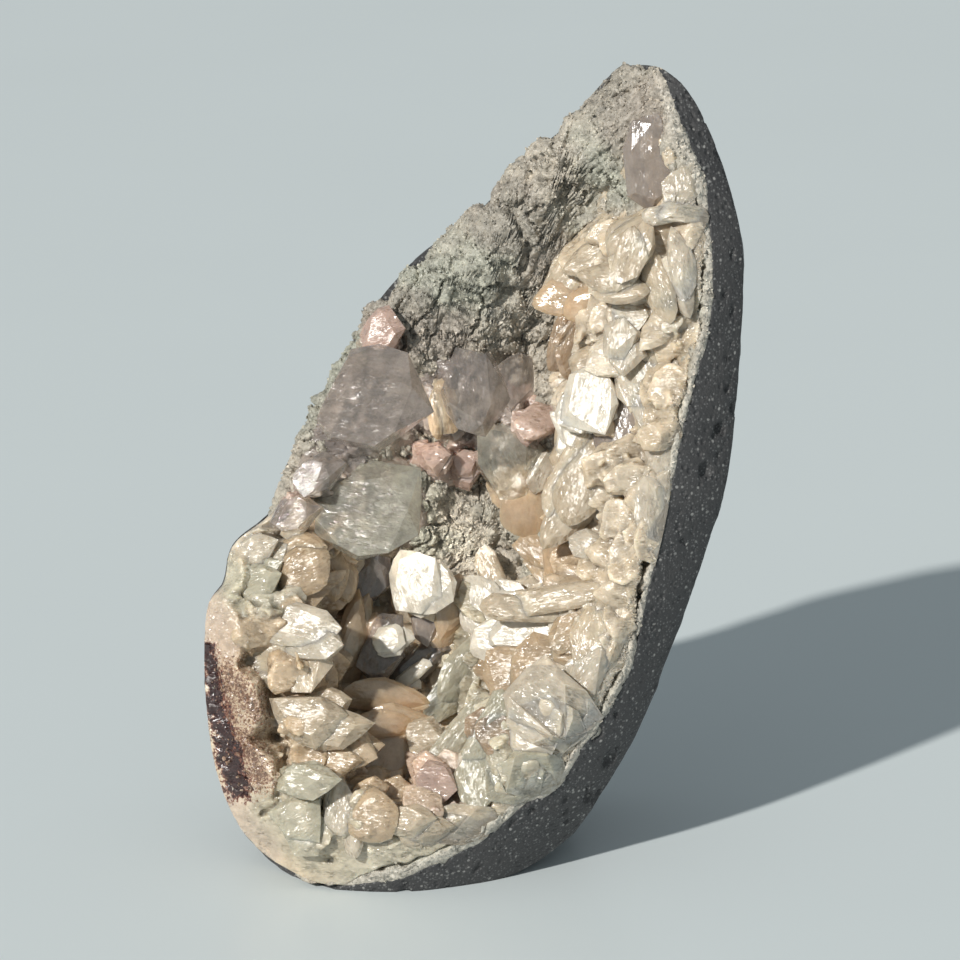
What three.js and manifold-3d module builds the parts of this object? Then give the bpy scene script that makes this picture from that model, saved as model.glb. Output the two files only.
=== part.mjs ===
// A crystal-lined geode that stands on a sawn base: half of a basalt nodule, its hollow coated
// with a thin druse and grown over by one crust of bladed and blocky crystals.
// Millimetres, +Z up. The origin is on the level of the flat base, under the middle of the whole
// stone, and the open face looks along -Y.
//
// The stone is described in a face frame that leans back with the open face: u runs to the right,
// v up the face and w into the rock. A mesh holds them as x = u, y = w, z = v.
import * as THREE from "three";
import { ConvexGeometry } from "three/addons/geometries/ConvexGeometry.js";
import { mergeVertices } from "three/addons/utils/BufferGeometryUtils.js";
import Module from "manifold-3d";

// Driving dimensions
const FACE_LEAN = THREE.MathUtils.degToRad(18); // how far the face frame leans back
const BASE_DROP = 88.4; // height of the face frame's origin above the base
const CENTRE = { u: 0, v: -12 }; // the outline is described round this point
const FRONT_AT_MIDDLE = -18; // w of the front plane at v = 0
const FRONT_SLOPE = -0.105; // w of the front plane per mm of v: the face is steeper than its frame
const RIM_ROUNDING = 5; // power of the curve by which the ground front drops back to the outline
const BACK_AT_MIDDLE = 38; // w of the broken back at v = 0
const BACK_SLOPE = -0.32; // keeps the back upright while the face leans
const DOME_PAST_BACK = 9; // the rounded side would close this far behind the broken back
const DOME_SQUARENESS = 2 / 3; // exponent of the side's rounding, smaller is squarer
const HOLLOW_DEPTH = 43; // from the front to the basalt wall at the middle
const HOLLOW_POWER = 2.3; // shape of the wall, larger is more like a bucket
const GAP = 0.5; // clear space between the layers, along w
const DRUSE_THICKNESS = 2.6;
const CRUST_BASE_CLEARANCE = 1.2; // the crust and the druse stop this far above the base

// Mesh fineness
const SPOKES = 50;
const FRONT_RINGS = 5;
const SIDE_RINGS = 6;
const WALL_CELL = 9.6; // side of the wall's facets
const BACK_CELL = 13; // side of the broken back's facets
const UNEVENNESS = 0.28; // how far a facet's corner strays, as a share of the cell
const PLUG_FRONT = -95;
const PLUG_MARGIN = 8; // the cutting plugs reach this far past the outline
const WALL_REACH = 1.12; // beyond this share of the way out the wall's shape is no longer needed

// The outline seen from the front, clockwise from the top: u, v, the share of the way out from
// CENTRE at which the basalt begins, and how far the ground front drops back to the outline.
// A share above 1 means that the lining runs over the edge.
const OUTLINE = [
  [36, 92, 1.02, 18],
  [41.5, 90, 0.98, 14],
  [47, 84, 0.94, 12],
  [53, 71, 0.93, 11],
  [57.4, 55, 0.89, 10],
  [58.2, 42, 0.87, 10],
  [57.5, 29, 0.82, 10],
  [56.6, 15, 0.78, 10],
  [54.8, 0, 0.765, 10],
  [50.5, -15, 0.785, 11],
  [45.5, -30, 0.805, 12],
  [40.2, -44, 0.85, 13],
  [34.5, -58, 0.84, 15],
  [27.8, -70, 0.82, 18],
  [21, -80, 0.83, 22],
  [11, -87.5, 0.81, 20],
  [0, -91.5, 0.86, 16],
  [-16, -94.5, 0.92, 12],
  [-30, -93.5, 0.97, 12],
  [-44, -88.5, 1.08, 13],
  [-54, -80, 1.15, 14],
  [-60, -66, 1.19, 14],
  [-62.4, -48, 1.2, 14],
  [-62, -29.5, 1.18, 15],
  [-58.2, -23, 1.15, 17],
  [-56, -14.5, 1.1, 19],
  [-46, -5.5, 1.06, 21],
  [-38, 12, 1.02, 24],
  [-31, 26, 1.02, 26],
  [-24, 39, 1.02, 28],
  [-13, 51, 1.02, 30],
  [0, 61, 1.02, 31],
  [10, 72, 1.02, 30],
  [22, 82, 1.02, 28],
  [30, 91, 1.02, 22],
];

// Where the crystal crust is thick: u, v, radius and height of each swelling above the druse.
const SWELLINGS = [
  // down the right side
  [46, 60, 9, 5],
  [41, 48, 10, 8],
  [33, 46, 10, 14],
  [24, 46, 7, 8],
  [38, 34, 9, 9],
  [30, 32, 9, 15],
  [34, 18, 10, 12],
  [25, 14, 9, 15],
  [28, 2, 9, 15],
  [35, -8, 9, 9],
  [20, -6, 7, 10],
  [30, -22, 9, 11],
  [20, -30, 9, 16],
  [10, -34, 8, 12],
  [27, -38, 9, 12],
  [16, -48, 10, 16],
  // round the bottom
  [4, -57, 9, 13],
  [8, -66, 10, 11],
  [20, -58, 9, 9],
  [-8, -64, 8, 11],
  [-12, -77, 11, 11],
  [2, -78, 10, 8],
  [-28, -77, 11, 18],
  [-44, -80, 12, 24],
  // up the left side
  [-38, -66, 11, 23],
  [-54, -66, 12, 34],
  [-39, -54, 10, 24],
  [-56, -50, 12, 36],
  [-42, -42, 11, 25],
  [-59, -36, 10, 34],
  [-46, -30, 10, 23],
  [-54, -22, 9, 18],
  [-38, -20, 9, 15],
  [-47, -10, 10, 9],
  [-36, -2, 10, 6],
  [-24, -6, 11, 7],
  [-27, 16, 12, 6],
  [-24, 33, 7, 3],
  // across the middle and in the pocket
  [-4, 18, 10, 6],
  [8, 12, 9, 7],
  [-8, 4, 6, 4],
  [-14, -26, 8, 7],
  [-22, -38, 8, 7],
  [-4, -30, 7, 7],
  [-3, -45, 8, 7],
  [-22, -53, 9, 9],
  [37, 70, 8, 3.5],
];
const BARE_DEPTH = 1.4; // a swelling shows only where it rises past this

// Outlines of the crystal habits, as shares of their width and height.
const HABITS = {
  plate: [[-0.5, -0.2], [-0.3, 0.45], [0.25, 0.5], [0.5, 0], [0.1, -0.5]],
  leaf: [[-0.5, -0.05], [-0.1, 0.5], [0.5, 0.15], [0.3, -0.4], [-0.25, -0.46]],
  block: [[-0.5, 0.12], [-0.22, 0.5], [0.3, 0.46], [0.5, -0.1], [0.05, -0.5], [-0.36, -0.34]],
  tooth: [[-0.5, 0.3], [0.1, 0.5], [0.5, 0.1], [0.1, -0.5], [-0.36, -0.34]],
  rod: [[-0.5, 0], [-0.4, 0.5], [0.44, 0.42], [0.5, -0.3], [-0.36, -0.5]],
  ball: [[-0.5, -0.1], [-0.2, 0.5], [0.4, 0.4], [0.45, -0.25], [-0.1, -0.5]],
  shard: [[-0.5, 0.1], [0.1, 0.5], [0.5, -0.1], [-0.2, -0.5]],
};

// The main crystals: habit, u, v, how far the middle stands out of the crust, width, height,
// thickness, then spin in the face, yaw to the right and pitch up, in degrees.
const CRYSTALS = [
  // the clear blocks on the upper left
  ["block", -23.5, 17.5, 5, 28, 25, 13, 0, -12, 4],
  ["block", -26, -7, 5, 31, 25, 11, -12, -12, 14],
  ["block", -35.5, 1.5, 3, 11, 10, 8, 30, -24, 10],
  ["block", -41, -8, 3, 12, 9, 8, 24, -24, 10],
  ["block", -22, 33, 2, 9, 9, 7, 20, -20, 10],
  ["block", -1, 19, 4, 14, 20, 9, 8, 5, 0],
  ["leaf", -7.5, 17, 4, 6, 13, 4, 10, 24, 0],
  ["block", 8, 22, 3, 10, 14, 7, -10, 10, 0],
  ["block", 11, 12, 3, 12, 10, 6, -20, 16, 0],
  ["block", 6.5, 4, 6, 16, 19, 8, 25, 18, -6],
  ["plate", 14.5, 2, 3, 7, 9, 6, -20, 25, 0],
  ["ball", -10.5, 5, 4, 9, 9, 7, 0, 0, 0],
  ["ball", -3.5, 3.5, 4, 8, 8, 6, 20, 0, 0],
  ["block", 36.5, 70.5, 2, 10, 18, 6, 4, -20, 4],
  // the cream sheaves below the top
  ["block", 44, 64, 0.5, 8, 9, 5, 0, -24, 10],
  ["rod", 44.5, 58.5, 2, 10, 4.5, 4, -6, -10, 20],
  ["leaf", 19, 44.5, 3, 9, 10, 5, -30, -20, 0],
  ["leaf", 26, 50, 3, 14, 7, 5, 18, -20, 14],
  ["leaf", 34, 54, 3, 13, 8, 5, 30, -16, 22],
  ["leaf", 24, 39.5, 3.5, 16, 8, 5, 4, -16, -6],
  ["leaf", 29, 44.5, 5.5, 14, 7, 4, -18, -20, 22],
  ["leaf", 39, 43, 5, 7, 17, 5, 24, -30, 0],
  ["leaf", 44, 47, 2, 7, 14, 5, 14, -30, 0],
  ["plate", 33, 49, 5.5, 7, 11, 4, -14, -24, 10],
  ["tooth", 34, 36, 3.5, 8, 7, 5, 0, -10, 10],
  ["leaf", 22, 30, 2, 8, 15, 5, -20, 24, -6],
  ["tooth", 31, 31, 3.5, 8, 9, 5, 0, -16, 10],
  ["tooth", 39, 31, 3, 9, 11, 5, 10, -24, 0],
  ["tooth", 26, 26, 3.5, 11, 11, 6, 20, -20, 6],
  ["plate", 35, 23, 3, 11, 13, 5, 30, -28, 6],
  ["plate", 24, 16, 4, 13, 12, 6, -12, -22, 12],
  ["leaf", 22, 8, 3, 8, 9, 6, -10, -16, 0],
  ["leaf", 32, 10, 3.5, 9, 19, 5, 22, -24, 0],
  ["plate", 39.5, 10, 1, 7, 16, 5, 8, -30, 0],
  ["plate", 38, -7, 1, 8, 14, 5, 4, -30, 0],
  // the tan plates and rods on the right
  ["leaf", 12, -5, 3, 13, 14, 5, 0, 8, -8],
  ["leaf", 23, -1, 5, 14, 22, 6, 6, -14, 2],
  ["leaf", 18.5, -15, 3, 6, 12, 5, 10, 8, -8],
  ["plate", 13.5, -16, 3, 11, 7, 4, -40, -8, 16],
  ["rod", 27, -15.5, 4, 13, 5.5, 5, -20, -10, 20],
  ["rod", 21, -26, 5.5, 26, 6, 6, 8, -10, 14],
  ["rod", 3.5, -23.5, 5.5, 14, 5, 5, -66, -10, 8],
  ["leaf", -6.5, -29, 3, 7, 13, 5, -14, 20, -4],
  ["leaf", -0.5, -28, 4, 8, 14, 5, 14, -24, 12],
  ["plate", 11, -33, 4, 15, 9, 6, 0, -22, 18],
  ["plate", 20, -34, 3.5, 10, 8, 5, 28, -20, 14],
  ["block", 26, -35, 2.5, 12, 13, 6, 10, -28, 6],
  ["plate", 14, -42, 3.5, 16, 12, 6, 0, -16, 4],
  ["plate", 16, -50, 4, 20, 15, 6, -20, -22, 10],
  ["plate", 22, -45, 3, 8, 16, 5, -40, -28, 0],
  ["plate", 7, -49, 3.5, 8, 11, 5, 0, -10, 6],
  ["leaf", -2, -42, 3, 10, 20, 6, -28, 24, -6],
  ["leaf", 3.5, -43, 3.5, 10, 7, 4, -14, 16, 0],
  // the deep pocket
  ["plate", -14.5, -23, 5, 14, 14, 5, 20, -14, 14],
  ["block", -12.5, -32, 4, 7, 12, 6, 0, 8, 0],
  ["plate", -25.5, -22.5, 5, 10, 11, 6, -20, 2, -4],
  ["leaf", -29.5, -38, 3, 8, 21, 6, -6, 24, -10],
  ["block", -22, -38, 5, 12, 16, 8, -6, -14, 12],
  ["rod", -15.5, -43, 4, 14, 6, 6, 50, -10, 8],
  ["leaf", -22, -49, 6, 17, 7, 5, -10, 10, -14],
  ["leaf", -22, -55, 7, 14, 6, 5, 2, 8, -18],
  ["leaf", -20.5, -63.5, 7, 11, 14, 6, -30, 6, 0],
  ["block", -12.5, -58, 7, 8, 8, 6, 10, -8, 12],
  ["rod", -4, -57, 6, 18, 6, 6, 52, 4, 0],
  ["rod", 2, -56, 5, 14, 6, 6, 58, -4, 0],
  ["plate", 6, -57, 3, 11, 9, 5, 0, -6, 10],
  ["block", -10, -68, 5, 9, 9, 6, 0, -10, 8],
  ["tooth", -15, -76, 5, 11, 8, 6, 0, -14, 14],
  ["block", 0, -67, 4, 11, 12, 6, 4, -14, 18],
  ["plate", 11, -65, 3, 14, 10, 6, 14, -18, 18],
  ["plate", -3, -77, 3, 14, 8, 5, 0, -14, 16],
  // the cream teeth on the left
  ["tooth", -37.5, -53, 3.5, 17, 11, 8, -4, -14, 6],
  ["tooth", -33.5, -62, 5, 14, 10, 8, -10, -16, 16],
  ["tooth", -38, -67, 3, 12, 8, 6, 0, -18, 10],
  ["leaf", -31, -73, 3.5, 6.5, 13, 6, 4, -20, 4],
  ["leaf", -23.5, -74.5, 3.5, 11, 11, 6, 0, -14, 8],
  ["tooth", -40, -75, 1, 11, 11, 5, 28, -22, 0],
  ["plate", -43, -32, 3, 22, 10, 6, -8, -18, 14],
  ["block", -38.5, -40, 3.5, 12, 15, 7, 6, -16, 2],
  ["plate", -47.5, -38, 2, 13, 10, 5, 10, -24, 6],
  ["leaf", -39, -20, 3, 12, 11, 6, 20, -12, 8],
  ["tooth", -50, -23, 2, 14, 9, 6, 10, -28, 8],
  ["tooth", -50, -16, 2, 12, 7, 6, 20, -28, 20],
  ["leaf", -33, -21, 3.5, 7, 11, 5, 8, 8, 0],
  ["rod", -40.5, -9, 2.5, 9, 5, 5, 70, -10, 8],
];

// Small crystals strewn over the crust between the main ones
const SHARD_COUNT = 38;
const SHARD_SIZE = 10.5;
const SHARD_CRUST = 3.5; // only where the crust is thicker than this

// Ledges and nodules of the bare druse
const LEDGE_COUNT = 125;
const LEDGE_SIZE = 9;

const wasm = await Module();
wasm.setup();

const frontPlane = (v) => FRONT_AT_MIDDLE + FRONT_SLOPE * v;
const backPlane = (v) => BACK_AT_MIDDLE + BACK_SLOPE * v;
const smooth = (x, from, to) => THREE.MathUtils.smoothstep(x, from, to);

// An even-looking number from 0 to 1 that depends only on n.
const scatter = (n) => THREE.MathUtils.euclideanModulo(Math.sin(91.7 * n + 1.3) * 4371.3, 1);

// Low rolling lumps, about 1 high, the same wherever they are asked for.
function lumps(u, v, w, length) {
  const k = (2 * Math.PI) / length;
  return (
    (Math.sin(k * (u + 0.6 * v) + 1.3) +
      Math.sin(k * (0.9 * v - 0.5 * w) + 4.1) +
      Math.sin(k * (1.1 * w - 0.7 * u + 0.2 * v) + 2.2)) /
    3
  );
}

// The outline as a smooth closed curve, with one more column of OUTLINE as its third measure.
const outlineCurve = (column) =>
  new THREE.CatmullRomCurve3(
    OUTLINE.map((row) => new THREE.Vector3(row[0], row[column], row[1])),
    true,
    "catmullrom",
    0.5,
  );

// The outline tabulated by its angle round CENTRE.
function tabulateOutline(samples = 720) {
  const [rims, drops] = [outlineCurve(2), outlineCurve(3)];
  return Array.from({ length: samples }, (_, i) => {
    const { x: u, y: rim, z: v } = rims.getPoint(i / samples);
    const drop = drops.getPoint(i / samples).y;
    const angle = Math.atan2(v - CENTRE.v, u - CENTRE.u);
    return { angle, radius: Math.hypot(u - CENTRE.u, v - CENTRE.v), rim, drop };
  }).sort((a, b) => a.angle - b.angle);
}
const outlineTable = tabulateOutline();

// The outline in the direction of a point: how far out the point is, the rim's share and the drop.
function edgeToward(u, v) {
  const angle = Math.atan2(v - CENTRE.v, u - CENTRE.u);
  let low = 0;
  let high = outlineTable.length - 1;
  while (high - low > 1) {
    const middle = (low + high) >> 1;
    if (outlineTable[middle].angle > angle) high = middle;
    else low = middle;
  }
  const nearest = outlineTable[low];
  const share = Math.hypot(u - CENTRE.u, v - CENTRE.v) / nearest.radius;
  return { share, ...nearest };
}

// A point of the face frame in a direction from CENTRE, at a share of the way to the outline.
function along(angle, share) {
  const { radius } = edgeToward(CENTRE.u + Math.cos(angle), CENTRE.v + Math.sin(angle));
  return {
    u: CENTRE.u + share * radius * Math.cos(angle),
    v: CENTRE.v + share * radius * Math.sin(angle),
  };
}

// The ground front of the stone: nearly flat, and curving back to the outline.
function groundFront(u, v) {
  const { share, drop } = edgeToward(u, v);
  return frontPlane(v) + drop * Math.min(share, WALL_REACH) ** RIM_ROUNDING;
}

// The basalt wall of the hollow.
function wallDepth(u, v) {
  const { share, rim } = edgeToward(u, v);
  const bowl = HOLLOW_DEPTH * (1 - Math.min(share / rim, WALL_REACH) ** HOLLOW_POWER);
  const uneven = 0.9 * lumps(u, v, 0, 31) + 1.5 * lumps(v, u, 0, 13);
  return groundFront(u, v) + bowl + (1 - smooth(share / rim, 0.8, 1)) * uneven;
}

// How far the crystal crust stands above the druse, negative where the druse is bare.
function crustHeight(u, v) {
  const heights = SWELLINGS.map(
    ([su, sv, radius, height]) => height * Math.exp(-((u - su) ** 2 + (v - sv) ** 2) / radius ** 2),
  );
  return Math.max(...heights) - BARE_DEPTH;
}

const backDepth = (u, v) => backPlane(v) + 2.4 * lumps(u, v, 0, 57) + 1.8 * lumps(v, u, 0, 26);
const druseDepth = (u, v) => wallDepth(u, v) - GAP - DRUSE_THICKNESS;
const crustDepth = (u, v) => druseDepth(u, v) - GAP - crustHeight(u, v);

// A geometry as a solid, turned the right way out.
function solidOf(geometry) {
  const bare = geometry.clone();
  bare.deleteAttribute("normal");
  bare.deleteAttribute("uv");
  const merged = mergeVertices(bare, 1e-4);
  const triVerts = new Uint32Array(merged.index.array);
  const vertProperties = merged.attributes.position.array;
  const made = new wasm.Manifold(new wasm.Mesh({ numProp: 3, vertProperties, triVerts }));
  if (made.volume() > 0) return made;
  triVerts.reverse();
  return new wasm.Manifold(new wasm.Mesh({ numProp: 3, vertProperties, triVerts }));
}

// The nodule's ground front and rounded side, closed by a dome behind.
function noduleSolid() {
  const spokeAngles = outlineCurve(2)
    .getSpacedPoints(SPOKES)
    .slice(1)
    .map(({ x: u, z: v }) => Math.atan2(v - CENTRE.v, u - CENTRE.u));
  const ringOf = (pointAt) => spokeAngles.map(pointAt);
  const front = Array.from({ length: FRONT_RINGS }, (_, i) => {
    const share = ((i + 1) / FRONT_RINGS) ** 0.5;
    return ringOf((angle) => {
      const { u, v } = along(angle, share);
      return [u, groundFront(u, v), v];
    });
  });
  const side = Array.from({ length: SIDE_RINGS }, (_, i) => {
    const turn = ((i + 1) / (SIDE_RINGS + 1)) * (Math.PI / 2);
    const share = Math.cos(turn) ** DOME_SQUARENESS;
    const rise = Math.sin(turn) ** DOME_SQUARENESS;
    return ringOf((angle) => {
      const edge = along(angle, 1);
      const { u, v } = along(angle, share);
      const edgeW = groundFront(edge.u, edge.v);
      const w = edgeW + rise * (backPlane(v) + DOME_PAST_BACK - edgeW);
      const rough = rise * (1.6 * lumps(u, v, w, 41) + 0.9 * lumps(w, u, v, 23));
      return [u + rough * Math.cos(angle), w, v + rough * Math.sin(angle)];
    });
  });
  const { u, v } = CENTRE;
  return ringSolid([u, groundFront(u, v), v], [...front, ...side], [u, backPlane(v) + DOME_PAST_BACK, v]);
}

// A closed surface swept from one pole to another through rings of points around CENTRE.
function ringSolid(firstPole, rings, lastPole) {
  const positions = [...firstPole, ...rings.flat(2), ...lastPole];
  const at = (ring, spoke) => 1 + ring * SPOKES + (spoke % SPOKES);
  const lastIndex = positions.length / 3 - 1;
  const index = [];
  for (let spoke = 0; spoke < SPOKES; spoke++) {
    index.push(0, at(0, spoke), at(0, spoke + 1));
    for (let ring = 0; ring < rings.length - 1; ring++) {
      const [a, b] = [at(ring, spoke), at(ring, spoke + 1)];
      const [c, d] = [at(ring + 1, spoke), at(ring + 1, spoke + 1)];
      index.push(a, c, b, b, c, d);
    }
    index.push(at(rings.length - 1, spoke), lastIndex, at(rings.length - 1, spoke + 1));
  }
  const geometry = new THREE.BufferGeometry()
    .setAttribute("position", new THREE.Float32BufferAttribute(positions, 3))
    .setIndex(index);
  return solidOf(geometry);
}

// Everything in front of a surface: a box whose back is pressed to it at uneven places.
function pressedBox(depth, cell = WALL_CELL) {
  const [us, vs] = [OUTLINE.map((row) => row[0]), OUTLINE.map((row) => row[1])];
  const width = Math.max(...us) - Math.min(...us) + 2 * PLUG_MARGIN;
  const height = Math.max(...vs) - Math.min(...vs) + 2 * PLUG_MARGIN;
  const cells = [Math.round(width / cell), Math.round(height / cell)];
  const box = new THREE.BoxGeometry(width, 1, height, cells[0], 1, cells[1]);
  box.translate(Math.min(...us) - PLUG_MARGIN + width / 2, 0, Math.min(...vs) - PLUG_MARGIN + height / 2);
  const { position } = box.attributes;
  for (let i = 0; i < position.count; i++) {
    const [x, isBack, z] = [position.getX(i), position.getY(i) > 0, position.getZ(i)];
    const place = Math.round(x * 7) + Math.round(z * 7) * 1.7;
    const u = x + cell * UNEVENNESS * (2 * scatter(place) - 1);
    const v = z + cell * UNEVENNESS * (2 * scatter(place + 0.5) - 1);
    position.setXYZ(i, u, isBack ? depth(u, v) : PLUG_FRONT, v);
  }
  return box;
}
const plug = (depth, cell) => solidOf(pressedBox(depth, cell));

// The w of the faceted surface of a layer, found by looking along w from the front.
function facetedSurface(depth) {
  const mesh = new THREE.Mesh(pressedBox(depth), new THREE.MeshBasicMaterial({ side: THREE.DoubleSide }));
  const [ray, onward] = [new THREE.Raycaster(), new THREE.Vector3(0, 1, 0)];
  return (u, v) => {
    ray.set(new THREE.Vector3(u, PLUG_FRONT - 10, v), onward);
    return ray.intersectObject(mesh).at(-1).point.y;
  };
}
const druseSurface = facetedSurface(druseDepth);
const crustFacets = facetedSurface(crustDepth);
const crustSurface = (u, v) => Math.max(crustFacets(u, v), groundFront(u, v));

// One crystal on a surface: its habit's outline at mid thickness, narrowing to a flat face in front
// and to a blunt root behind.
function crystalSolid([habit, u, v, lift, width, height, thickness, spin, yaw, pitch], surface = crustSurface) {
  const faceShare = habit === "ball" ? 0.55 : 0.8;
  const points = HABITS[habit].flatMap(([x, z]) => [
    new THREE.Vector3(x * width, 0, z * height),
    new THREE.Vector3(x * width * faceShare, -thickness / 2, z * height * faceShare),
  ]);
  points.push(new THREE.Vector3(0, thickness, 0));
  const turned = new THREE.Euler(
    THREE.MathUtils.degToRad(-pitch),
    -THREE.MathUtils.degToRad(spin),
    THREE.MathUtils.degToRad(yaw),
    "ZXY",
  );
  const geometry = new ConvexGeometry(points);
  geometry.applyMatrix4(new THREE.Matrix4().makeRotationFromEuler(turned));
  return solidOf(geometry.translate(u, surface(u, v) - lift, v));
}

// Places spread evenly over the whole outline in a sunflower pattern.
function sunflower(count) {
  const golden = Math.PI * (3 - Math.sqrt(5));
  return Array.from({ length: count }, (_, i) => ({
    i,
    ...along(-Math.PI + ((i * golden) % (2 * Math.PI)), 0.99 * Math.sqrt((i + 0.5) / count)),
  }));
}

// Small crystals that fill the crust between the main ones.
function shardSolids() {
  return sunflower(SHARD_COUNT)
    .filter(({ u, v }) => crustHeight(u, v) > SHARD_CRUST && crustDepth(u, v) > groundFront(u, v))
    .map(({ i, u, v }) => {
      const size = SHARD_SIZE * (0.75 + 0.5 * scatter(i));
      const spin = 360 * scatter(i + 0.2);
      const [yaw, pitch] = [70 * scatter(i + 0.4) - 45, 60 * scatter(i + 0.6) - 24];
      return crystalSolid(["shard", u, v, 1.5, size, 0.75 * size, 0.6 * size, spin, yaw, pitch]);
    });
}

// Ledges and nodules of the druse, drawn out sideways, where no crystals cover it. A clearance
// makes them larger, to cut the room they need out of the crust.
function ledgeSolids(clearance = 0) {
  return sunflower(LEDGE_COUNT)
    .filter(({ u, v }) => crustHeight(u, v) < 0.5)
    .map(({ i, u, v }) => {
      const size = LEDGE_SIZE * (0.6 + 0.6 * scatter(i));
      const [spin, pitch] = [50 * scatter(i + 0.2) - 25, 70 * scatter(i + 0.4) - 20];
      const [width, height, thickness] = [1, 0.6, 0.5].map((share) => share * size + 2.5 * clearance);
      return crystalSolid(["ball", u, v, 0.4, width, height, thickness, spin, 0, pitch], druseSurface);
    });
}

const joined = (solids) => solids.reduce((all, one) => all.add(one));
const largestPiece = (solid) => solid.decompose().reduce((a, b) => (a.volume() > b.volume() ? a : b));

const stone = new THREE.Group();
stone.rotation.x = -FACE_LEAN;
stone.position.z = BASE_DROP;
stone.updateMatrixWorld(true);

// The space under a level plane, in the face frame.
function below(height) {
  const size = 400;
  const box = new THREE.BoxGeometry(size, size, size).translate(0, 0, height - size / 2);
  return solidOf(box.applyMatrix4(stone.matrixWorld.clone().invert()));
}

function addMesh(name, solid, material) {
  const { numProp, numVert, vertProperties, triVerts } = largestPiece(solid).getMesh();
  const positions = new Float32Array(numVert * 3);
  for (let i = 0; i < numVert; i++) positions.set(vertProperties.subarray(i * numProp, i * numProp + 3), i * 3);
  const geometry = new THREE.BufferGeometry()
    .setAttribute("position", new THREE.BufferAttribute(positions, 3))
    .setIndex(new THREE.BufferAttribute(triVerts, 1));
  const mesh = new THREE.Mesh(geometry, new THREE.MeshStandardMaterial(material));
  mesh.name = name;
  stone.add(mesh);
}

const nodule = noduleSolid().intersect(plug(backDepth, BACK_CELL));
const lining = plug((u, v) => wallDepth(u, v) - GAP);
const crustBack = plug((u, v) => druseDepth(u, v) - GAP);
const underCrust = below(CRUST_BASE_CLEARANCE);

const basalt = nodule.subtract(plug(wallDepth)).subtract(below(0));
const druse = nodule
  .intersect(lining)
  .subtract(plug(druseDepth))
  .add(joined(ledgeSolids()).intersect(lining))
  .subtract(underCrust);
const crust = nodule
  .subtract(plug(crustDepth))
  .add(joined([...shardSolids(), ...CRYSTALS.map((row) => crystalSolid(row))]))
  .intersect(crustBack)
  .subtract(joined(ledgeSolids(GAP)))
  .subtract(underCrust);

addMesh("basalt_rock", basalt, { color: 0x3b3b3d, roughness: 0.75, metalness: 0, flatShading: true });
addMesh("druse_lining", druse, { color: 0x8d9183, roughness: 0.8, metalness: 0, flatShading: true });
addMesh("crystal_crust", crust, { color: 0xd9c3a3, roughness: 0.35, metalness: 0, flatShading: true });

const byEveryCorner = true; // a box of boxes would be too large on the leaning group
const extent = new THREE.Box3().setFromObject(stone, byEveryCorner);
stone.position.x = -(extent.min.x + extent.max.x) / 2;
stone.position.y = -(extent.min.y + extent.max.y) / 2;

export default stone;
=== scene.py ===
# The looks of the crystal-lined geode: fine stone surfaces, the crystals one by one, and the light.
#
# Lengths are in millimetres in a face frame that leans back with the open face: u to the right,
# w into the rock and v up the face. to_row() turns them into metres in the frame of the model.
import math

import bmesh
import bpy
import numpy as np
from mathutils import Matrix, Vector
from mathutils.bvhtree import BVHTree


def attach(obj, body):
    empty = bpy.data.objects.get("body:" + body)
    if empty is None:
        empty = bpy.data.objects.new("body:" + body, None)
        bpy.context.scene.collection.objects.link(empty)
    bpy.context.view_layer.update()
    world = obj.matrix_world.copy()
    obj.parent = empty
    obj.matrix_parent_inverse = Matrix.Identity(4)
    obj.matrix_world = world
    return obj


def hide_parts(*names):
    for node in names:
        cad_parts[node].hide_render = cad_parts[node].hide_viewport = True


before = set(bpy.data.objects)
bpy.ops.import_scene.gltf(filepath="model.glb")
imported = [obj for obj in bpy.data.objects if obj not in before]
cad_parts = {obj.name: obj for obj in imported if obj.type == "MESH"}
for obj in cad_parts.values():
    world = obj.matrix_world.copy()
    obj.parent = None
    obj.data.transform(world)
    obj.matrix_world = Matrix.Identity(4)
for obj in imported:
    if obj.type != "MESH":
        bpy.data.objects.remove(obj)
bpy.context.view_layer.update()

rng = np.random.default_rng(7)

# The face frame and the main shape of the stone, as in the model
FACE_ORIGIN = np.array([2.139, -1.530, 88.4])  # x, y, z in the model's frame
FACE_LEAN = math.radians(18)
CENTRE = np.array([0.0, -12.0])  # u, v of the point that the outline is described round
FRONT_AT_MIDDLE = -18.0
FRONT_SLOPE = -0.105
RIM_ROUNDING = 5
BACK_AT_MIDDLE = 38.0
BACK_SLOPE = -0.32
DOME_PAST_BACK = 9.0
HOLLOW_DEPTH = 43.0
HOLLOW_POWER = 2.3
WALL_REACH = 1.12
GAP = 0.5
DRUSE_THICKNESS = 2.6
BARE_DEPTH = 1.4
LEDGE_DROOP = 0.3  # how far the tops of the druse's lumps hang down, per mm that they stand out
LINING_CLEARANCE = 1.3  # the lining stops this far above the base

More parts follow.
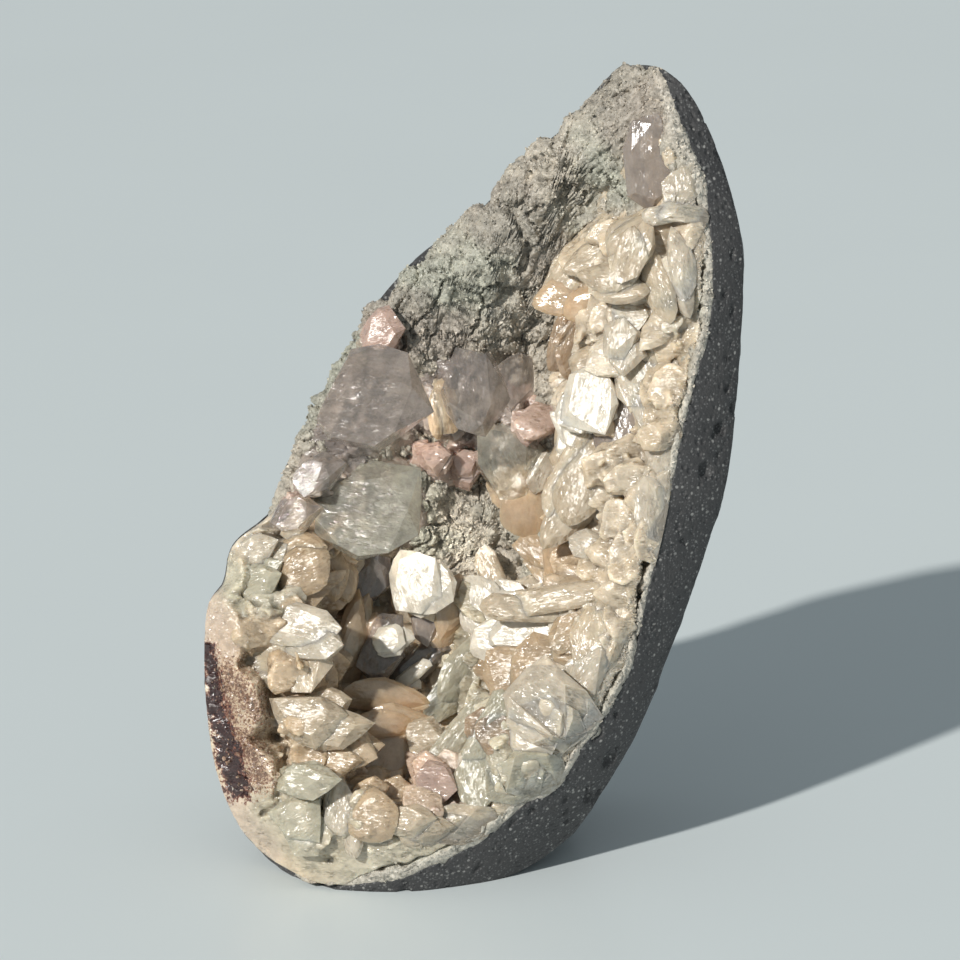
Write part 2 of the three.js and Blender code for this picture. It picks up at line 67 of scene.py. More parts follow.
# Seen from the front: u, v, the share of the way out at which the basalt begins, the rim's drop
OUTLINE = np.array([
    [36, 92, 1.02, 18], [41.5, 90, 0.98, 14], [47, 84, 0.94, 12], [53, 71, 0.93, 11],
    [57.4, 55, 0.89, 10], [58.2, 42, 0.87, 10], [57.5, 29, 0.82, 10], [56.6, 15, 0.78, 10],
    [54.8, 0, 0.765, 10], [50.5, -15, 0.785, 11], [45.5, -30, 0.805, 12], [40.2, -44, 0.85, 13],
    [34.5, -58, 0.84, 15], [27.8, -70, 0.82, 18], [21, -80, 0.83, 22], [11, -87.5, 0.81, 20],
    [0, -91.5, 0.86, 16], [-16, -94.5, 0.92, 12], [-30, -93.5, 0.97, 12], [-44, -88.5, 1.08, 13],
    [-54, -80, 1.15, 14], [-60, -66, 1.19, 14], [-62.4, -48, 1.2, 14], [-62, -29.5, 1.18, 15],
    [-58.2, -23, 1.15, 17], [-56, -14.5, 1.1, 19], [-46, -5.5, 1.06, 21], [-38, 12, 1.02, 24],
    [-31, 26, 1.02, 26], [-24, 39, 1.02, 28], [-13, 51, 1.02, 30], [0, 61, 1.02, 31],
    [10, 72, 1.02, 30], [22, 82, 1.02, 28], [30, 91, 1.02, 22],
])

# Where the crystal crust is thick: u, v, radius and height of each swelling above the druse
SWELLINGS = np.array([
    # down the right side
    [46, 60, 9, 5], [41, 48, 10, 8], [33, 46, 10, 14], [24, 46, 7, 8], [38, 34, 9, 9],
    [30, 32, 9, 15], [34, 18, 10, 12], [25, 14, 9, 15], [28, 2, 9, 15], [35, -8, 9, 9],
    [20, -6, 7, 10], [30, -22, 9, 11], [20, -30, 9, 16], [10, -34, 8, 12], [27, -38, 9, 12],
    [16, -48, 10, 16],
    # round the bottom
    [4, -57, 9, 13], [8, -66, 10, 11], [20, -58, 9, 9], [-8, -64, 8, 11], [-12, -77, 11, 11],
    [2, -78, 10, 8], [-28, -77, 11, 18], [-44, -80, 12, 24],
    # up the left side
    [-38, -66, 11, 23], [-54, -66, 12, 34], [-39, -54, 10, 24], [-56, -50, 12, 36],
    [-42, -42, 11, 25], [-59, -36, 10, 34], [-46, -30, 10, 23], [-54, -22, 9, 18],
    [-38, -20, 9, 15], [-47, -10, 10, 9], [-36, -2, 10, 6], [-24, -6, 11, 7], [-27, 16, 12, 6],
    [-24, 33, 7, 3],
    # across the middle and in the pocket
    [-4, 18, 10, 6], [8, 12, 9, 7], [-8, 4, 6, 4], [-14, -26, 8, 7], [-22, -38, 8, 7],
    [-4, -30, 7, 7], [-3, -45, 8, 7], [-22, -53, 9, 9], [37, 70, 8, 3.5],
], float)

# Outlines of the crystal habits, as shares of their width and height
HABITS = {
    "plate": [
        (-0.5, -0.1), (-0.4, 0.3), (-0.1, 0.5), (0.32, 0.4), (0.5, 0.08), (0.36, -0.36), (-0.05, -0.5),
        (-0.4, -0.38),
    ],
    "leaf": [
        (-0.5, -0.12), (-0.34, 0.3), (-0.02, 0.5), (0.34, 0.32), (0.5, 0.04), (0.3, -0.36), (-0.08, -0.5),
        (-0.38, -0.36),
    ],
    "block": [(-0.5, 0.12), (-0.22, 0.5), (0.3, 0.46), (0.5, -0.1), (0.05, -0.5), (-0.36, -0.34)],
    "tooth": [(-0.5, 0.3), (0.1, 0.5), (0.5, 0.1), (0.1, -0.5), (-0.36, -0.34)],
    "rod": [(-0.5, 0), (-0.4, 0.5), (0.44, 0.42), (0.5, -0.3), (-0.36, -0.5)],
}
# For each habit: how round it is, how many bodies a crystal of it has, how large the front face is,
# and half the side wall as a share of the thickness
HABIT_VALUES = {
    "plate": (0.0, 3, 0.84, 0.22),
    "leaf": (0.9, 3, 0.6, 0.05),
    "block": (0.1, 1, 0.86, 0.16),
    "tooth": (0.3, 3, 0.66, 0.1),
    "rod": (0.6, 2, 0.7, 0.14),
}

# The main crystals: tint, habit, u, v, how far the middle stands out of the crust, width, height,
# thickness, then spin in the face, yaw to the right and pitch up, in degrees
CRYSTALS = [
    # the clear blocks on the upper left
    ("clear", "block", -23.5, 17.5, 5, 28, 25, 13, 0, -6, -2),
    ("glassy", "block", -26, -7, 5, 31, 25, 11, -12, -8, 17),
    ("clear", "block", -35.5, 1.5, 3, 11, 10, 8, 30, -24, 10),
    ("clear", "block", -41, -8, 3, 12, 9, 8, 24, -24, 10),
    ("pink", "block", -22, 33, 2, 9, 9, 7, 20, -20, 10),
    ("clear", "block", -1, 19, 4, 14, 20, 9, 8, 5, 0),
    ("tan", "leaf", -7.5, 17, 4, 6, 13, 4, 10, 24, 0),
    ("clear", "block", 8, 22, 3, 10, 14, 7, -10, 10, 0),
    ("pink", "tooth", 11, 12, 2.5, 8, 7, 5, -20, 16, 0),
    ("glassy", "block", 6.5, 4, 6, 16, 19, 8, 25, 18, -6),
    ("pale", "plate", 14.5, 2, 3, 7, 9, 6, -20, 25, 0),
    ("pink", "tooth", -10.5, 5, 4, 8, 7, 7, 0, 0, 0),
    ("pink", "tooth", -3.5, 3.5, 4, 7, 7, 6, 20, 0, 0),
    ("lilac", "block", 36.5, 70.5, 2, 10, 18, 6, 4, -4, -6),
    # the cream sheaves below the top
    ("pale", "block", 44, 64, 0.5, 8, 9, 5, 0, -24, 10),
    ("pale", "rod", 44.5, 58.5, 2, 10, 4.5, 4, -6, -10, 20),
    ("cream", "leaf", 19, 44.5, 3, 9, 10, 5, -30, -20, 0),
    ("cream", "leaf", 26, 50, 3, 14, 7, 5, 18, -20, 14),
    ("cream", "leaf", 34, 54, 3, 13, 8, 5, 30, -16, 22),
    ("honey", "leaf", 25.5, 39.5, 3, 15, 8, 5, 4, -12, -6),
    ("cream", "leaf", 29, 44.5, 5.5, 14, 7, 4, -18, -20, 22),
    ("cream", "leaf", 39, 43, 5, 7, 17, 5, 24, -30, 0),
    ("pale", "leaf", 44, 47, 2, 7, 14, 5, 14, -30, 0),
    ("cream", "plate", 33, 49, 5.5, 7, 11, 4, -14, -24, 10),
    ("pale", "tooth", 34, 36, 3.5, 8, 7, 5, 0, -10, 10),
    # a brown crystal whose darker tint is partly painted shade, as it lies in shade
    ("brown", "leaf", 22, 30, 2, 8, 15, 5, -20, 24, -6),
    ("pale", "tooth", 31, 31, 3.5, 8, 9, 5, 0, -16, 10),
    ("cream", "tooth", 39, 31, 3, 9, 11, 5, 10, -24, 0),
    ("cream", "tooth", 26, 26, 3.5, 11, 11, 6, 20, -20, 6),
    ("pale", "plate", 35, 23, 3, 11, 13, 5, 30, -28, 6),
    ("mirror", "plate", 24.5, 17.5, 6, 12, 14, 6, -12, -16.5, 9.6),
    ("mirror", "plate", 21.5, 11, 5, 6, 9, 5, 20, -16.5, 9.6),
    ("cream", "leaf", 22, 8, 3, 8, 9, 6, -10, -16, 0),
    ("lilac", "leaf", 32, 10, 3.5, 9, 19, 5, 22, -24, 0),
    ("pale", "plate", 39.5, 10, 1, 7, 16, 5, 8, -30, 0),
    ("pale", "plate", 38, -7, 1, 8, 14, 5, 4, -30, 0),
    # the tan plates and rods on the right
    ("honey", "leaf", 12, -5, 3, 13, 14, 5, 0, 8, -8),
    ("cream", "leaf", 23, -1, 5, 11, 20, 6, -14, -14, 2),
    ("honey", "leaf", 18.5, -15, 3, 6, 12, 5, 10, 8, -8),
    ("tan", "plate", 13.5, -16, 3, 11, 7, 4, -40, -8, 16),
    ("pale", "rod", 27, -15.5, 4, 13, 5.5, 5, -20, -10, 20),
    ("cream", "rod", 21, -26, 5.5, 26, 6, 6, 8, -10, 14),
    ("cream", "rod", 3.5, -23.5, 5.5, 14, 5, 5, -66, -10, 8),
    ("honey", "leaf", -6.5, -29, 3, 7, 13, 5, -14, 20, -4),
    ("mirror", "leaf", -0.5, -28, 5, 10, 13, 5, 14, -16.5, 9.6),
    ("mirror", "plate", 11, -33.5, 6, 17, 9, 6, 0, -16.5, 9.6),
    ("mirror", "plate", 7, -26.5, 5, 10, 6, 5, -40, -16.5, 9.6),
    ("tan", "plate", 20, -34, 3.5, 10, 8, 5, 28, -20, 14),
    ("cream", "plate", 26, -35, 2.5, 12, 13, 6, 10, -28, 6),
    ("tan", "plate", 14, -42, 3.5, 16, 12, 6, 0, -16, 4),
    ("pale", "plate", 16, -50, 4, 20, 15, 6, -20, -22, 10),
    ("pale", "plate", 22, -45, 3, 8, 16, 5, -40, -28, 0),
    ("tan", "plate", 7, -49, 3.5, 8, 11, 5, 0, -10, 6),
    ("green", "leaf", -2, -42, 3, 10, 20, 6, -28, 24, -6),
    ("tan", "leaf", 3.5, -43, 3.5, 10, 7, 4, -14, 16, 0),
    # the deep pocket
    ("mirror", "plate", -14.5, -23, 6.5, 12, 13, 5, 20, -16.5, 9.6),
    ("lilac", "block", -12.5, -32, 4, 7, 12, 6, 0, 8, 0),
    ("clear", "plate", -25.5, -22.5, 5, 10, 11, 6, -20, 2, -4),
    ("honey", "leaf", -29.5, -38, 3, 8, 21, 6, -6, 24, -10),
    ("clear", "block", -22, -38, 5, 12, 16, 8, -6, -14, 12),
    ("mirror", "plate", -20.5, -36, 9, 8, 6, 4, 30, -16.5, 9.6),
    ("clear", "rod", -15.5, -43, 4, 14, 6, 6, 50, -10, 8),
    ("mirror", "rod", -15, -44, 7, 9, 3, 3, 38, -16.5, 9.6),
    ("honey", "leaf", -22, -49, 6, 17, 7, 5, -10, 10, -14),
    ("honey", "leaf", -22, -55, 7, 14, 6, 5, 2, 8, -18),
    ("honey", "leaf", -20.5, -63.5, 7, 11, 14, 6, -30, 6, 0),
    ("cream", "block", -12.5, -58, 7, 8, 8, 6, 10, -8, 12),
    ("green", "rod", -4, -57, 6, 18, 6, 6, 52, 4, 0),
    ("green", "rod", 2, -56, 5, 14, 6, 6, 58, -4, 0),
    # a brown plate whose darker tint is partly painted shade, as it lies in shade in the pocket
    ("brown", "plate", 6, -57, 3, 11, 9, 5, 0, -6, 10),
    ("pink", "block", -10, -68, 5, 9, 9, 6, 0, -10, 8),
    ("cream", "tooth", -15, -76, 5, 11, 8, 6, 0, -14, 14),
    ("green", "block", 0, -67, 4, 11, 12, 6, 4, -14, 18),
    ("green", "plate", 11, -65, 3, 14, 10, 6, 14, -18, 18),
    ("cream", "plate", -3, -77, 3, 14, 8, 5, 0, -14, 16),
    # the cream teeth on the left
    ("cream", "tooth", -37.5, -53, 3.5, 17, 11, 8, -4, -14, 6),
    ("tan", "tooth", -33.5, -62, 5, 14, 10, 8, -10, -16, 16),
    ("green", "tooth", -38, -67, 3, 12, 8, 6, 0, -18, 10),
    ("pale", "leaf", -31, -73, 3.5, 6.5, 13, 6, 4, -20, 4),
    ("tan", "leaf", -23.5, -74.5, 3.5, 11, 11, 6, 0, -14, 8),
    ("green", "tooth", -40, -75, 1, 11, 11, 5, 28, -22, 0),
    ("pale", "plate", -42, -32, 4, 20, 9, 6, -8, -23, 15),
    ("cream", "block", -38.5, -40, 3.5, 12, 15, 7, 6, -16, 2),
    ("cream", "plate", -47.5, -38, 2, 13, 10, 5, 10, -24, 6),
    ("tan", "leaf", -39, -20, 3, 12, 11, 6, 20, -12, 8),
    ("green", "tooth", -50, -23, 2, 14, 9, 6, 10, -28, 8),
    ("pale", "tooth", -50, -16, 2, 12, 7, 6, 20, -28, 20),
    ("tan", "leaf", -33, -21, 3.5, 7, 11, 5, 8, 8, 0),
    ("cream", "rod", -40.5, -9, 2.5, 9, 5, 5, 70, -10, 8),
]

# Linear colours of the crystals and the stone
TINTS = {
    "clear": (0.37, 0.33, 0.305),
    "glassy": (0.5, 0.49, 0.42),
    "pale": (0.62, 0.54, 0.43),
    "mirror": (0.66, 0.6, 0.5),
    "cream": (0.6, 0.49, 0.355),
    "tan": (0.53, 0.39, 0.25),
    "honey": (0.585, 0.435, 0.285),
    # brown: partly the crystals' own brown and partly painted shade, darker where the crystals lie in
    # shade
    "brown": (0.36, 0.24, 0.145),
    "green": (0.49, 0.455, 0.345),
    "lilac": (0.27, 0.23, 0.21),
    "pink": (0.55, 0.385, 0.32),
    "rust": (0.15, 0.075, 0.045),
    "ochre": (0.50, 0.33, 0.22),
    "red": (0.20, 0.06, 0.035),
    "maroon": (0.022, 0.008, 0.009),
    "druse": (0.455, 0.41, 0.34),
    "greenish": (0.38, 0.375, 0.31),
    "rosy": (0.31, 0.265, 0.225),
}

# Tinted patches of the crust and the druse: tint, from u, v, to u, v, radius, strength
PATCHES = [
    ("lilac", (-30, 16), (-12, 22), 13, 0.9),
    ("lilac", (-38, -2), (-14, -6), 12, 0.8),
    ("lilac", (-2, 22), (8, 6), 10, 0.9),
    ("pink", (9, 26), (11, 14), 4, 0.8),
    ("pink", (-10, 5), (-3, 4), 5, 0.8),
    ("pink", (-42, -3), (-38, -13), 4, 0.6),
    ("tan", (24, 38), (20, 24), 6, 0.6),
    ("tan", (12, -2), (17, -20), 7, 0.9),
    ("tan", (19, 41), (27, 40), 5, 0.7),
    ("tan", (-36, -12), (-34, -24), 6, 0.8),
    ("tan", (-44, -36), (-34, -62), 8, 0.8),
    ("tan", (-38, -84), (-24, -72), 6, 0.4),
    # brown blades deep in the pocket, darkened further as painted shade of the deep hollow
    ("brown", (-31, -30), (-24, -46), 8, 0.8),
    ("tan", (-30, -46), (-18, -68), 9, 0.8),
    ("pale", (14, -32), (18, -52), 9, 0.8),
    ("pale", (22, 20), (32, 34), 8, 0.7),
    ("green", (-2, -36), (4, -62), 8, 0.7),
    ("green", (-58, -22), (-46, -24), 6, 0.8),
    ("green", (-44, -78), (-10, -84), 9, 0.6),
    ("pink", (-12, -62), (-8, -74), 5, 0.6),
    ("pink", (-61, -28), (-58, -36), 5, 0.35),
    ("pink", (-58, -74), (-50, -84), 6, 0.3),
]
# The stain on the ground left side: a black crack, and rusty sugary places beside it
CRACK = [((-60.6, -38), (-59.4, -48), 1.6), ((-59.4, -48), (-57, -58), 2.2), ((-57, -58), (-54, -69), 2.6)]
RUSTY = [((-56, -43), (-50, -51), 3.6), ((-53, -57), (-49, -66), 3.8), ((-57, -45), (-54, -66), 2.4)]
DRUSE_PATCHES = [
    ("rosy", (30, 90), (34, 78), 8, 0.6),
    ("rosy", (4, 60), (14, 52), 8, 0.6),
    ("rosy", (-22, 38), (-10, 34), 8, 0.6),
    ("pink", (-23, 33), (-21, 29), 4, 0.6),
]
GROUND_RIM_TINT = (0.54, 0.50, 0.43)

BASALT_DARK = (0.022, 0.022, 0.024, 1)
BASALT_LIGHT = (0.082, 0.080, 0.080, 1)
# How many flecks to the metre, how rare, their size as a share of a cell, colour
BASALT_FLECKS = ((1500, 0.35, 0.42, (0.15, 0.15, 0.15, 1)), (850, 0.7, 0.38, (0.34, 0.335, 0.32, 1)))
ABSORBED_TINT = (0.80, 0.77, 0.75, 1)  # what daylight turns to deep inside the clear crystals
GROWTH_LINES = (0.25, 0.6, 1.7)  # how much finer the growth lines are across a crystal than along it
GROWTH_WHERE_FUSED = (0.9, 0.5, 0.7)

# Places at the upper left where the bare basalt shows past the edge of the druse: u, v, radius
BASALT_PEEKS = [(19, 78, 4), (3, 63, 3), (-12, 50, 4), (-21, 43, 4)]

CRISP_EDGE = math.radians(11)  # edges of crystals sharper than this stay crisp
GROWN_EDGE = math.radians(24)  # and so do those of the fused mass
SPREAD = 1.14  # all but the clear crystals are this much broader than the table has them
FLATTENING = 0.72  # and this much thinner
SUNK = 0.8  # and this much deeper in the crust
LENS_RINGS = ((0.86, -0.24), (0.66, -0.4), (0.4, -0.48))  # a lens's rings: share of its outline, depth

# Relief of the stone: height, size and noise seed of the druse's lumps and creases; height, size,
# seed and steepness of the crust's facets; size, seed, share and depth of the basalt's gas bubbles
DRUSE_LUMPS = ((2.8, 9.0, 1), (2.2, 4.6, 2), (1.0, 2.3, 3))
DRUSE_CREASES = ((2.2, 11, 5), (1.2, 6, 6))
CRUST_FACETS = ((3.4, 8.5, 6, 1.1), (1.7, 4.2, 7, 1.2), (0.8, 2.1, 8, 1.3))
BUBBLES = ((3.4, 75, 0.3, 0.8), (6.5, 76, 0.22, 1.3))

# The crystal materials. Sparkle and facet turn the surface in small and large cells, clouding is
# how uneven it is, and mottle the range of its inner shades.
CRYSTAL_MATERIALS = {
    "clear": dict(
        transmission=0.62, subsurface=0.5, roughness=0.06, sparkle=0.45, facet=0.1,
        coat=0.7, absorption=16, clouding=0.5, mottle=(0.66, 1.3),
    ),
    "honey": dict(
        transmission=0.3, subsurface=0.6, roughness=0.16, sparkle=0.3, facet=0.12, coat=0.3, clouding=0.35,
    ),
    "milky": dict(
        transmission=0.15, subsurface=0.5, roughness=0.17, sparkle=0.75, facet=0.3, clouding=0.6,
    ),
    "mirror": dict(
        transmission=0.0, subsurface=0.35, roughness=0.17, sparkle=0.3, facet=0.3, clouding=0.6,
    ),
    "pearly": dict(
        transmission=0.0, subsurface=0.5, roughness=0.17, sparkle=0.9, facet=0.45,
        clouding=0.8, grown=True,
    ),
    "sugary": dict(transmission=0.05, subsurface=0.4, roughness=0.25, sparkle=0.0, facet=0.3),
}
# Which tints of the main crystals each piece takes up
CRYSTAL_PIECES = {
    "clear": ("clear", "glassy"),
    "milky": ("pale", "cream", "green", "pink", "tan", "brown"),
    "honey": ("honey", "lilac"),
    "mirror": ("mirror",),
}

# Mesh fineness
SPOKES = 600
DRUSE_RINGS = (144, 12, 5)
CRUST_RINGS = (130, 14, 5)
BASALT_RINGS = (10, 112, 34)
BARE_DRUSE = (math.radians(38), math.radians(185), 2.4)  # from, to, and how much denser its spokes are
SIDE_STEPS = 400
GROWN_VOXEL = 0.45
GROWN_KEPT = 0.3  # share of the faces that stays


# Fields over the face

def smooth_loop(corners, place):
    """A closed Catmull-Rom curve through some corners, and the straight way, at places along it."""
    start = place.astype(int)
    t = (place - start)[:, None]
    a, b, c, d = (corners[(start + k) % len(corners)] for k in (-1, 0, 1, 2))
    curve = 2 * b + (c - a) * t + (2 * a - 5 * b + 4 * c - d) * t**2 + (3 * b - a - 3 * c + d) * t**3
    return 0.5 * curve, b + (c - b) * t


def tabulate_outline(samples=2160):
    """The outline as a smooth curve: angle round CENTRE, radius, rim share and drop."""
    curve, _ = smooth_loop(OUTLINE, np.arange(samples) * len(OUTLINE) / samples)
    offset = curve[:, :2] - CENTRE
    angle = np.arctan2(offset[:, 1], offset[:, 0])
    order = np.argsort(angle)
    measures = np.column_stack([np.hypot(*offset.T), curve[:, 2:]])
    return angle[order], measures[order]


OUTLINE_ANGLES, OUTLINE_MEASURES = tabulate_outline()


def outline_at(angle):
    """Radius of the outline, share at which the basalt begins and drop of the front, by angle."""
    period = 2 * math.pi
    return [np.interp(angle, OUTLINE_ANGLES, column, period=period) for column in OUTLINE_MEASURES.T]


def edge_toward(u, v):
    """How far out a point is as a share of the way to the outline, the rim's share and the drop."""
    radius, rim, drop = outline_at(np.arctan2(v - CENTRE[1], u - CENTRE[0]))
    return np.hypot(u - CENTRE[0], v - CENTRE[1]) / radius, rim, drop


def lumps(u, v, w, length):
    """Low rolling lumps, about 1 high."""
    k = 2 * math.pi / length
    return (
        np.sin(k * (u + 0.6 * v) + 1.3)
        + np.sin(k * (0.9 * v - 0.5 * w) + 4.1)
        + np.sin(k * (1.1 * w - 0.7 * u + 0.2 * v) + 2.2)
    ) / 3


def smoothstep(x, start, end):
    t = np.clip((x - start) / (end - start), 0, 1)
    return t * t * (3 - 2 * t)


def back_plane(v):
    return BACK_AT_MIDDLE + BACK_SLOPE * v


def ground_front(u, v):
    """The ground front of the stone: nearly flat, and curving back to the outline."""
    share, _, drop = edge_toward(u, v)
    return FRONT_AT_MIDDLE + FRONT_SLOPE * v + drop * np.minimum(share, WALL_REACH) ** RIM_ROUNDING


def wall_depth(u, v):
    """The basalt wall of the hollow."""
    share, rim, _ = edge_toward(u, v)
    bowl = HOLLOW_DEPTH * (1 - np.minimum(share / rim, WALL_REACH) ** HOLLOW_POWER)
    uneven = 0.9 * lumps(u, v, 0, 31) + 1.5 * lumps(v, u, 0, 13)
    return ground_front(u, v) + bowl + (1 - smoothstep(share / rim, 0.8, 1)) * uneven


def crust_height(u, v):
    """How far the crystal crust stands above the druse, negative where the druse is bare."""
    u, v = np.broadcast_arrays(u, v)
    highest = np.full(u.shape, -1e9)
    for su, sv, radius, height in SWELLINGS:
        np.maximum(highest, height * np.exp(-((u - su) ** 2 + (v - sv) ** 2) / radius**2), out=highest)
    return highest - BARE_DEPTH


def druse_depth(u, v):
    return wall_depth(u, v) - GAP - DRUSE_THICKNESS


def crust_depth(u, v):
    return druse_depth(u, v) - GAP - crust_height(u, v)


def crust_surface(u, v):
    return np.maximum(crust_depth(u, v), ground_front(u, v))


def back_depth(u, v):
    return back_plane(v) + 2.4 * lumps(u, v, 0, 57) + 1.8 * lumps(v, u, 0, 26)


def side_reach(edge_w, v):
    """How far back the rounded side would reach before it closed."""
    return back_plane(v) + DOME_PAST_BACK - edge_w


def side_rise(u_edge, v_edge, v, w):
    """How far back along the rounded side a depth lies, from 0 at the front to 1."""
    edge_w = ground_front(u_edge, v_edge)
    return np.clip((w - edge_w) / side_reach(edge_w, v), 0, 1)


# Noise

def hashed(cell, seed):
    """Even-looking numbers from 0 to 1 for whole-numbered cells, given as an array of columns."""
    x, y, z = np.moveaxis(cell, -1, 0)
    n = (x * 374761393 + y * 668265263 + z * 1440662683 + seed * 974711) & 0xFFFFFFFF
    n = ((n ^ (n >> 13)) * 1274126177) & 0xFFFFFFFF
    n = ((n ^ (n >> 16)) * 1597334677) & 0xFFFFFFFF
    return ((n ^ (n >> 15)) & 0xFFFFFF) / 0xFFFFFF


def value_noise(points, size, seed=0):
    """Smooth noise from -1 to 1."""
    scaled = points / size
    cell = np.floor(scaled).astype(np.int64)
    t = scaled - cell
    t = t * t * (3 - 2 * t)
    total = np.zeros(len(points))
    for corner in np.ndindex(2, 2, 2):
        weight = np.prod(np.where(corner, t, 1 - t), axis=1)
        total += weight * hashed(cell + np.array(corner), seed)
    return 2 * total - 1


def fractal(points, size, octaves, seed=0):
    """Noise with finer and fainter noise on it."""
    return sum(value_noise(points, size / 2**k, seed + k) / 2**k for k in range(octaves))


def worley(points, size, seed=0, flat=False):
    """Distance to the nearest and next feature point in cell sizes, the way to it, and three numbers
    it owns. A flat pattern has its points in u and v only."""
    scaled = points / size
    if flat:
        scaled = scaled * np.array([1, 0, 1])
    cell = np.floor(scaled).astype(np.int64)
    best = np.full(len(points), 1e9)
    second = np.full(len(points), 1e9)
    way = np.zeros((len(points), 3))
    owner = np.zeros((len(points), 3), np.int64)
    for step in np.ndindex(3, 1 if flat else 3, 3):
        near = cell + np.array(step) - [1, 0 if flat else 1, 1]
        jitter = np.stack([hashed(near, seed + k) for k in (11, 12, 13)], axis=1)
        if flat:
            jitter[:, 1] = 0
        offset = scaled - near - jitter
        distance = np.linalg.norm(offset, axis=1)
        closer = distance < best
        second = np.where(closer, best, np.minimum(second, distance))
        best = np.where(closer, distance, best)
        way[closer] = offset[closer]
        owner[closer] = near[closer]
    own = np.stack([hashed(owner, seed + k) for k in (21, 22, 23)], axis=1)
    return best, second, way, own


def domes(points, size, seed, flat=False):
    """Rounded grains side by side, from 0 in the creases to 1 on the tops."""
    distance, _, _, own = worley(points, size, seed, flat)
    return np.sqrt(np.clip(1 - (distance / 0.95) ** 2, 0, 1)) * (0.55 + 0.45 * own[:, 0])


def facets(points, size, seed, steepness):
    """Tilted flat faces side by side, about 1 high."""
    _, _, way, own = worley(points, size, seed, flat=True)
    tilt = steepness * (2 * own[:, :2] - 1)
    return tilt[:, 0] * way[:, 0] + tilt[:, 1] * way[:, 2] + own[:, 2] - 0.5


# Meshes

def to_row(points):
    """Face-frame millimetres, in the order u, w, v, as row-frame metres."""
    u, w, v = points.T
    y = w * math.cos(FACE_LEAN) + v * math.sin(FACE_LEAN)
    z = v * math.cos(FACE_LEAN) - w * math.sin(FACE_LEAN)
    return (np.column_stack([u, y, z]) + FACE_ORIGIN) * 0.001


def ring_triangles(rings, spokes):
    """Triangles of a surface swept from a pole through rings of points to another pole."""
    spoke = np.arange(spokes)
    after = (spoke + 1) % spokes
    first = np.column_stack([np.zeros(spokes, int), 1 + spoke, 1 + after])
    start = 1 + spokes * np.arange(rings - 1)[:, None]
    a, b = start + spoke, start + after
    c, d = a + spokes, b + spokes
    bands = np.concatenate([np.stack([a, c, b], -1), np.stack([b, c, d], -1)]).reshape(-1, 3)
    end = 1 + spokes * (rings - 1)
    last = np.column_stack([end + spoke, np.full(spokes, 1 + spokes * rings), end + after])
    return np.concatenate([first, bands, last])


def corners_of(points, triangles):
    return (points[triangles[:, k]] for k in range(3))


def outward(points, triangles):
    """The same triangles, turned so that the volume they enclose is positive."""
    a, b, c = corners_of(points, triangles)
    volume = np.einsum("ij,ij->i", a, np.cross(b, c)).sum()
    return triangles if volume > 0 else triangles[:, ::-1]


def normals_of(points, triangles):
    a, b, c = corners_of(points, triangles)
    face = np.cross(b - a, c - a)
    total = np.zeros_like(points)
    for k in range(3):
        np.add.at(total, triangles[:, k], face)
    return total / np.maximum(np.linalg.norm(total, axis=1, keepdims=True), 1e-12)


def make_piece(name, points, triangles, node, material, tint=None, grain=None, smooth=True):
    """One visible piece that stands for a node of the model."""
    mesh = bpy.data.meshes.new(name)
    mesh.vertices.add(len(points))
    mesh.vertices.foreach_set("co", to_row(points).ravel())
    mesh.loops.add(triangles.size)
    mesh.loops.foreach_set("vertex_index", triangles.ravel().astype(np.int32))
    mesh.polygons.add(len(triangles))
    mesh.polygons.foreach_set("loop_start", np.arange(0, triangles.size, 3, dtype=np.int32))
    mesh.polygons.foreach_set("use_smooth", np.full(len(triangles), smooth))
    mesh.update(calc_edges=True)
    if tint is not None:
        colours = mesh.color_attributes.new("tint", "FLOAT_COLOR", "POINT")
        colours.data.foreach_set("color", np.column_stack([tint, np.ones(len(tint))]).ravel())
    if grain is not None:
        vectors = mesh.attributes.new("grain", "FLOAT_VECTOR", "POINT")
        vectors.data.foreach_set("vector", grain.ravel())
    mesh.validate()
    mesh.materials.append(material)
    piece = bpy.data.objects.new(name, mesh)
    bpy.context.scene.collection.objects.link(piece)
    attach(piece, "root")
    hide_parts(node)
    return piece


def mix(a, b, share):
    """Colours or places between two others, by a share for each point."""
    share = np.asarray(share)[..., None]
    return a * (1 - share) + b * share


def distance_to_line(points, start, end):
    """How far points lie from a line between two places, seen from the front."""
    start, way = np.array(start, float), np.subtract(end, start).astype(float)
    along = np.clip((points[:, [0, 2]] - start) @ way / (way @ way), 0, 1)
    return np.linalg.norm(points[:, [0, 2]] - start - along[:, None] * way, axis=1)


def patch_weight(points, start, end, radius, seed):
    """1 along the line from start to end, falling off to 0 past a ragged edge."""
    ragged = radius * (1 + 0.35 * fractal(points, radius, 3, seed))
    return 1 - smoothstep(distance_to_line(points, start, end) / ragged, 0.6, 1.25)


def closeness(points, lines):
    """1 on the nearest of some lines, falling evenly to 0 at twice the radius of each."""
    return np.max(
        [1 - distance_to_line(points, start, end) / (2 * radius) for start, end, radius in lines], axis=0
    )


def patched(points, base, patches):
    for seed, (tint, start, end, radius, strength) in enumerate(patches):
        share = strength * patch_weight(points, start, end, radius, seed)
        base = mix(base, np.array(TINTS[tint]), share)
    return base


def crust_tint(points):
    """The colour of the crust at a place on it."""
    noise = fractal(points, 9, 3, 50)
    base = mix(np.array(TINTS["cream"]), np.array(TINTS["pale"]), np.clip(0.4 + 0.9 * noise, 0, 1))
    return patched(points, base, PATCHES)


def druse_tint(points):
    noise = fractal(points, 14, 3, 60)
    base = mix(np.array(TINTS["druse"]), np.array(TINTS["greenish"]), np.clip(0.3 + 0.9 * noise, 0, 1))
    base = patched(points, base, DRUSE_PATCHES)
    share, rim, _ = edge_toward(points[:, 0], points[:, 2])
    at_rim = smoothstep(share / rim, 0.94, 0.985) * smoothstep(rim, 1.0, 0.95)
    return mix(base, np.array(GROUND_RIM_TINT), 0.8 * at_rim)


# Swept layers of the stone

